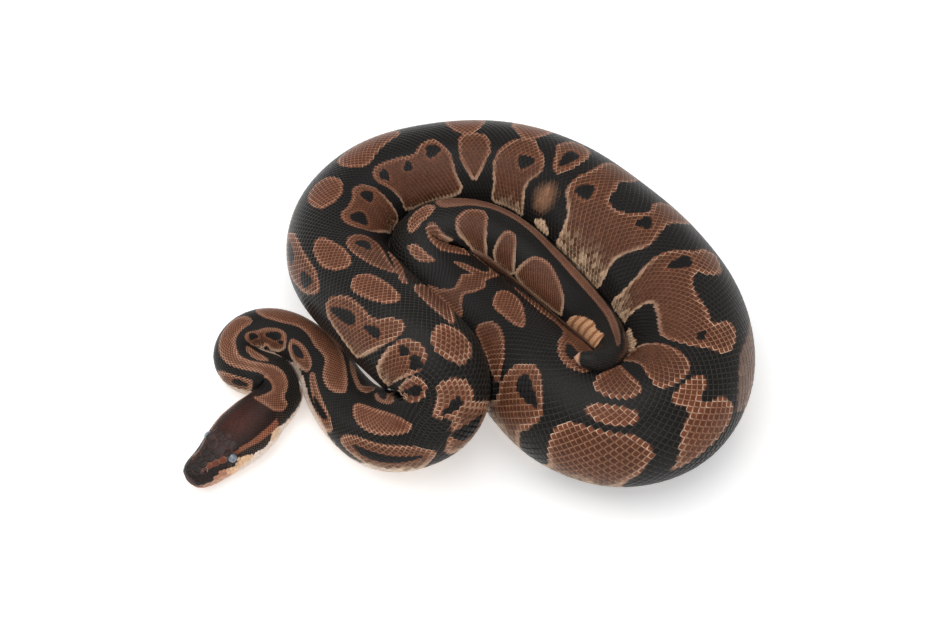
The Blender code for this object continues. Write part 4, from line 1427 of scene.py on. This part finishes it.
def buildBodyScales():
    places, angles, rowAngle = scaleRoots()
    point = sample(skinGrid, places, angles)
    free, first = np.ones(len(places), bool), scales["nearHead"]
    for centre, radius in zip(plateCentres, plateRadii):
        free[:first] &= np.linalg.norm(point[:first] - centre, axis=1) >= radius + scales["plateGap"]
    places, angles, rowAngle, point = (values[free] for values in (places, angles, rowAngle, point))
    tangent, stretch = tangentAt(places, angles)
    kept = notCrowded(point, stretch, periodAt(places))
    places, angles, rowAngle, point, tangent, stretch = (
        values[kept] for values in (places, angles, rowAngle, point, tangent, stretch))
    normal = sample(skinNormal, places, angles)
    normal /= np.linalg.norm(normal, axis=1)[:, None]
    sideways = sample(skinGrid, places, angles + 1.5) - sample(skinGrid, places, angles - 1.5)
    widest = scales["widest"] * halfWidthAt(places) * pi / 180
    across = np.minimum(np.linalg.norm(sideways, axis=1) / 3, widest)
    inRows = np.interp(stretch, [0.5, 1.0], scales["widthInRows"])
    length = scales["lengthInPeriods"] * periodAt(places) * np.clip(stretch, *scales["stretch"])
    jitter = np.random.default_rng(randomSeeds["scales"]).random(len(places))
    share = scales["colourShare"]
    roots = {
        "point": point, "outward": normal, "lengthwise": tangent,
        "measure": np.stack([inRows * rowAngle * across, length, bandAt("coatDepth", places)], -1) * mm,
        "span": np.stack([inRows * rowAngle * share, length / np.maximum(stretch, 0.3) * share, stretch], -1),
        "rootAt": np.stack([places, angles, jitter], -1),
    }
    tree, shape = makeScaleTree(), scaleShape()
    pieces = int(np.ceil(len(places) / scales["perPiece"]))
    for k, part in enumerate(np.array_split(np.arange(len(places)), pieces)):
        start, end = places[part[0]], places[part[-1]]
        own = {key: values[part] for key, values in roots.items()}
        own["rootPlace"] = np.stack([0.01 + 0.98 * (places[part] - start) / (end - start),
                                     (angles[part] + 180.0) / 360.0, np.zeros(len(part))], -1)
        layScales("bodyScales_" + str(k + 1), tree, shape, own, scales["seed"] + k)
    bpy.data.objects.remove(shape)
    print("body scales:", len(places), "in", pieces, "pieces")


buildBodyScales()

# ---- broad plates across the belly

scutes = {
    "from": 40.0,
    "periods": 1.6,
    "overlap": 1.25,
    "edgeAngle": 145.0,
    "across": 13,
    "sag": 0.22,                # of a plate's length, at the middle of the belly
    "smudged": 0.22,            # of all the plates
    # from the front edge, under the plate before, to the raised and tucked rear edge
    "profile": [(-0.25, 0.0), (0.1, 0.3), (0.6, 0.6), (0.92, 0.85), (1.0, 0.7), (0.96, 0.1)],
}


def buildScutes():
    count, profile = scutes["across"], scutes["profile"]
    steps, s = [], scutes["from"]
    while s < bodyEnd - scales["tailEnd"]:
        steps.append((s, scutes["periods"] * float(periodAt(np.array([s]))[0])))
        s += steps[-1][1]
    angles = np.linspace(scutes["edgeAngle"], 360.0 - scutes["edgeAngle"], count)
    fromMiddle = (angles - 180.0) / (180.0 - scutes["edgeAngle"])
    taper = 1 - 0.9 * np.abs(fromMiddle) ** 8
    points, faces, leaf, patches = [], [], [], []
    for k, (s, length) in enumerate(steps):
        start, depth = len(points), float(bandAt("coatDepth", s))
        sag = (1 - fromMiddle ** 2) * scutes["sag"] * length
        for t, lift in profile:
            place = np.clip(s + t * length * scutes["overlap"] + sag * (t > 0.3), 0, bodyEnd - 0.5)
            base, up = sample(skinGrid, place, angles), sample(skinNormal, place, angles)
            points += list(base + up * (lift * depth * taper)[:, None])
            leaf += [(0.0, t - 0.5, 1.0 if t > 0.95 else 0.8 if t > 0.9 else 0.0)] * count
            patches += [((k + 0.08 + 0.84 * (t + 0.25) / 1.25) / len(steps), 0.02 + 0.96 * j / (count - 1))
                        for j in range(count)]
        for row in range(len(profile) - 1):
            a = start + row * count
            faces += [(a + j, a + count + j, a + count + j + 1, a + j + 1) for j in range(count - 1)]
    points = np.array(points)
    points[:, 2] = np.maximum(points[:, 2], 0.0)
    smudged = np.random.default_rng(randomSeeds["smudges"]).random(len(steps)) < scutes["smudged"]
    smudge = np.repeat(smudged, len(profile) * count)
    where = np.repeat([s for s, length in steps], len(profile) * count)
    wings = np.tile(softStep(12, 32, np.abs(angles - 180.0)), len(steps) * len(profile))
    tone = mix(tones["belly"], tones["smudge"], smudge * wings * 0.5)
    tone = mix(tone, tones["wing"], 0.35 * wings)
    tone = mix(tone, tones["tailBelly"], past("tailBelly", where) * 0.85)
    made = makePiece("bellyScutes", points, faces, materials["belly"],
                     {"tone": tone, "edgeTone": np.minimum(tone * 1.1, 1.0), "leaf": leaf}, patches)
    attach(made, "root")
    print("belly scutes:", len(steps))


buildScutes()

# ---- eyes

eyes = {
    "radius": 2.86,
    "rows": 40,
    "columns": 56,
    "gazeForward": 20.0,        # degrees ahead of straight sideways
    "gazeUp": 22.0,
    "pupil": (0.42, 1.05),      # half width and height, mm
    # lower and upper iris, dim rim, pupil
    "tones": [paint(*colour) for colour in ((50, 56, 64), (120, 130, 142), (44, 46, 52), (40, 42, 48))],
}


def buildEye(node, side):
    low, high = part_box(node)
    centre = (np.array(low) + np.array(high)) / 2 / mm
    station = np.array([relief["eye"][0]])
    ahead, left = (columnsAt(station, along, way)[0] for way in (forwardWay, leftWay))
    turn, rise = radians(eyes["gazeForward"]), radians(eyes["gazeUp"])
    gaze = (left * side * cos(turn) - ahead * sin(turn)) * cos(rise) + np.array([0, 0, sin(rise)])
    gaze /= np.linalg.norm(gaze)
    across = np.cross([0, 0, 1.0], gaze)
    across /= np.linalg.norm(across)
    up = np.cross(gaze, across)
    rows, cols, radius = eyes["rows"], eyes["columns"], eyes["radius"]
    (wide, tall), (lowIris, highIris, rim, pupil) = eyes["pupil"], eyes["tones"]
    points, faces, tone = [], [], []
    for i in range(rows + 1):
        polar = pi * i / rows
        for j in range(cols if 0 < i < rows else 1):
            turn = 2 * pi * j / cols
            way = gaze * cos(polar) + (across * cos(turn) + up * sin(turn)) * sin(polar)
            points.append(centre + way * radius)
            x, y = sin(polar) * cos(turn) * radius, sin(polar) * sin(turn) * radius
            slit = softStep(0.75, 1.2, np.hypot(x / wide, y / tall)) if cos(polar) > 0 else 1.0
            iris = mix(lowIris, highIris, 0.5 + 0.5 * way[2])
            iris = mix(iris, rim, softStep(0.62, 0.98, sin(polar)) * 0.7)
            tone.append(mix(mix(iris, pupil, 0.6), iris, slit))
    starts = [0] + [1 + (i - 1) * cols for i in range(1, rows)] + [1 + (rows - 1) * cols]
    for j in range(cols):
        k = (j + 1) % cols
        faces.append((0, 1 + j, 1 + k))
        faces += [(a + j, b + j, b + k, a + k) for a, b in zip(starts[1:-2], starts[2:-1])]
        faces.append((starts[-2] + j, starts[-1], starts[-2] + k))
    piece = makePiece(node + "Ball", points, faces, materials["eye"], {"tone": tone, "edgeTone": tone})
    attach(piece, "root")
    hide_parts(node)


buildEye("eye_left", 1)
buildEye("eye_right", -1)
print("eyes ready")
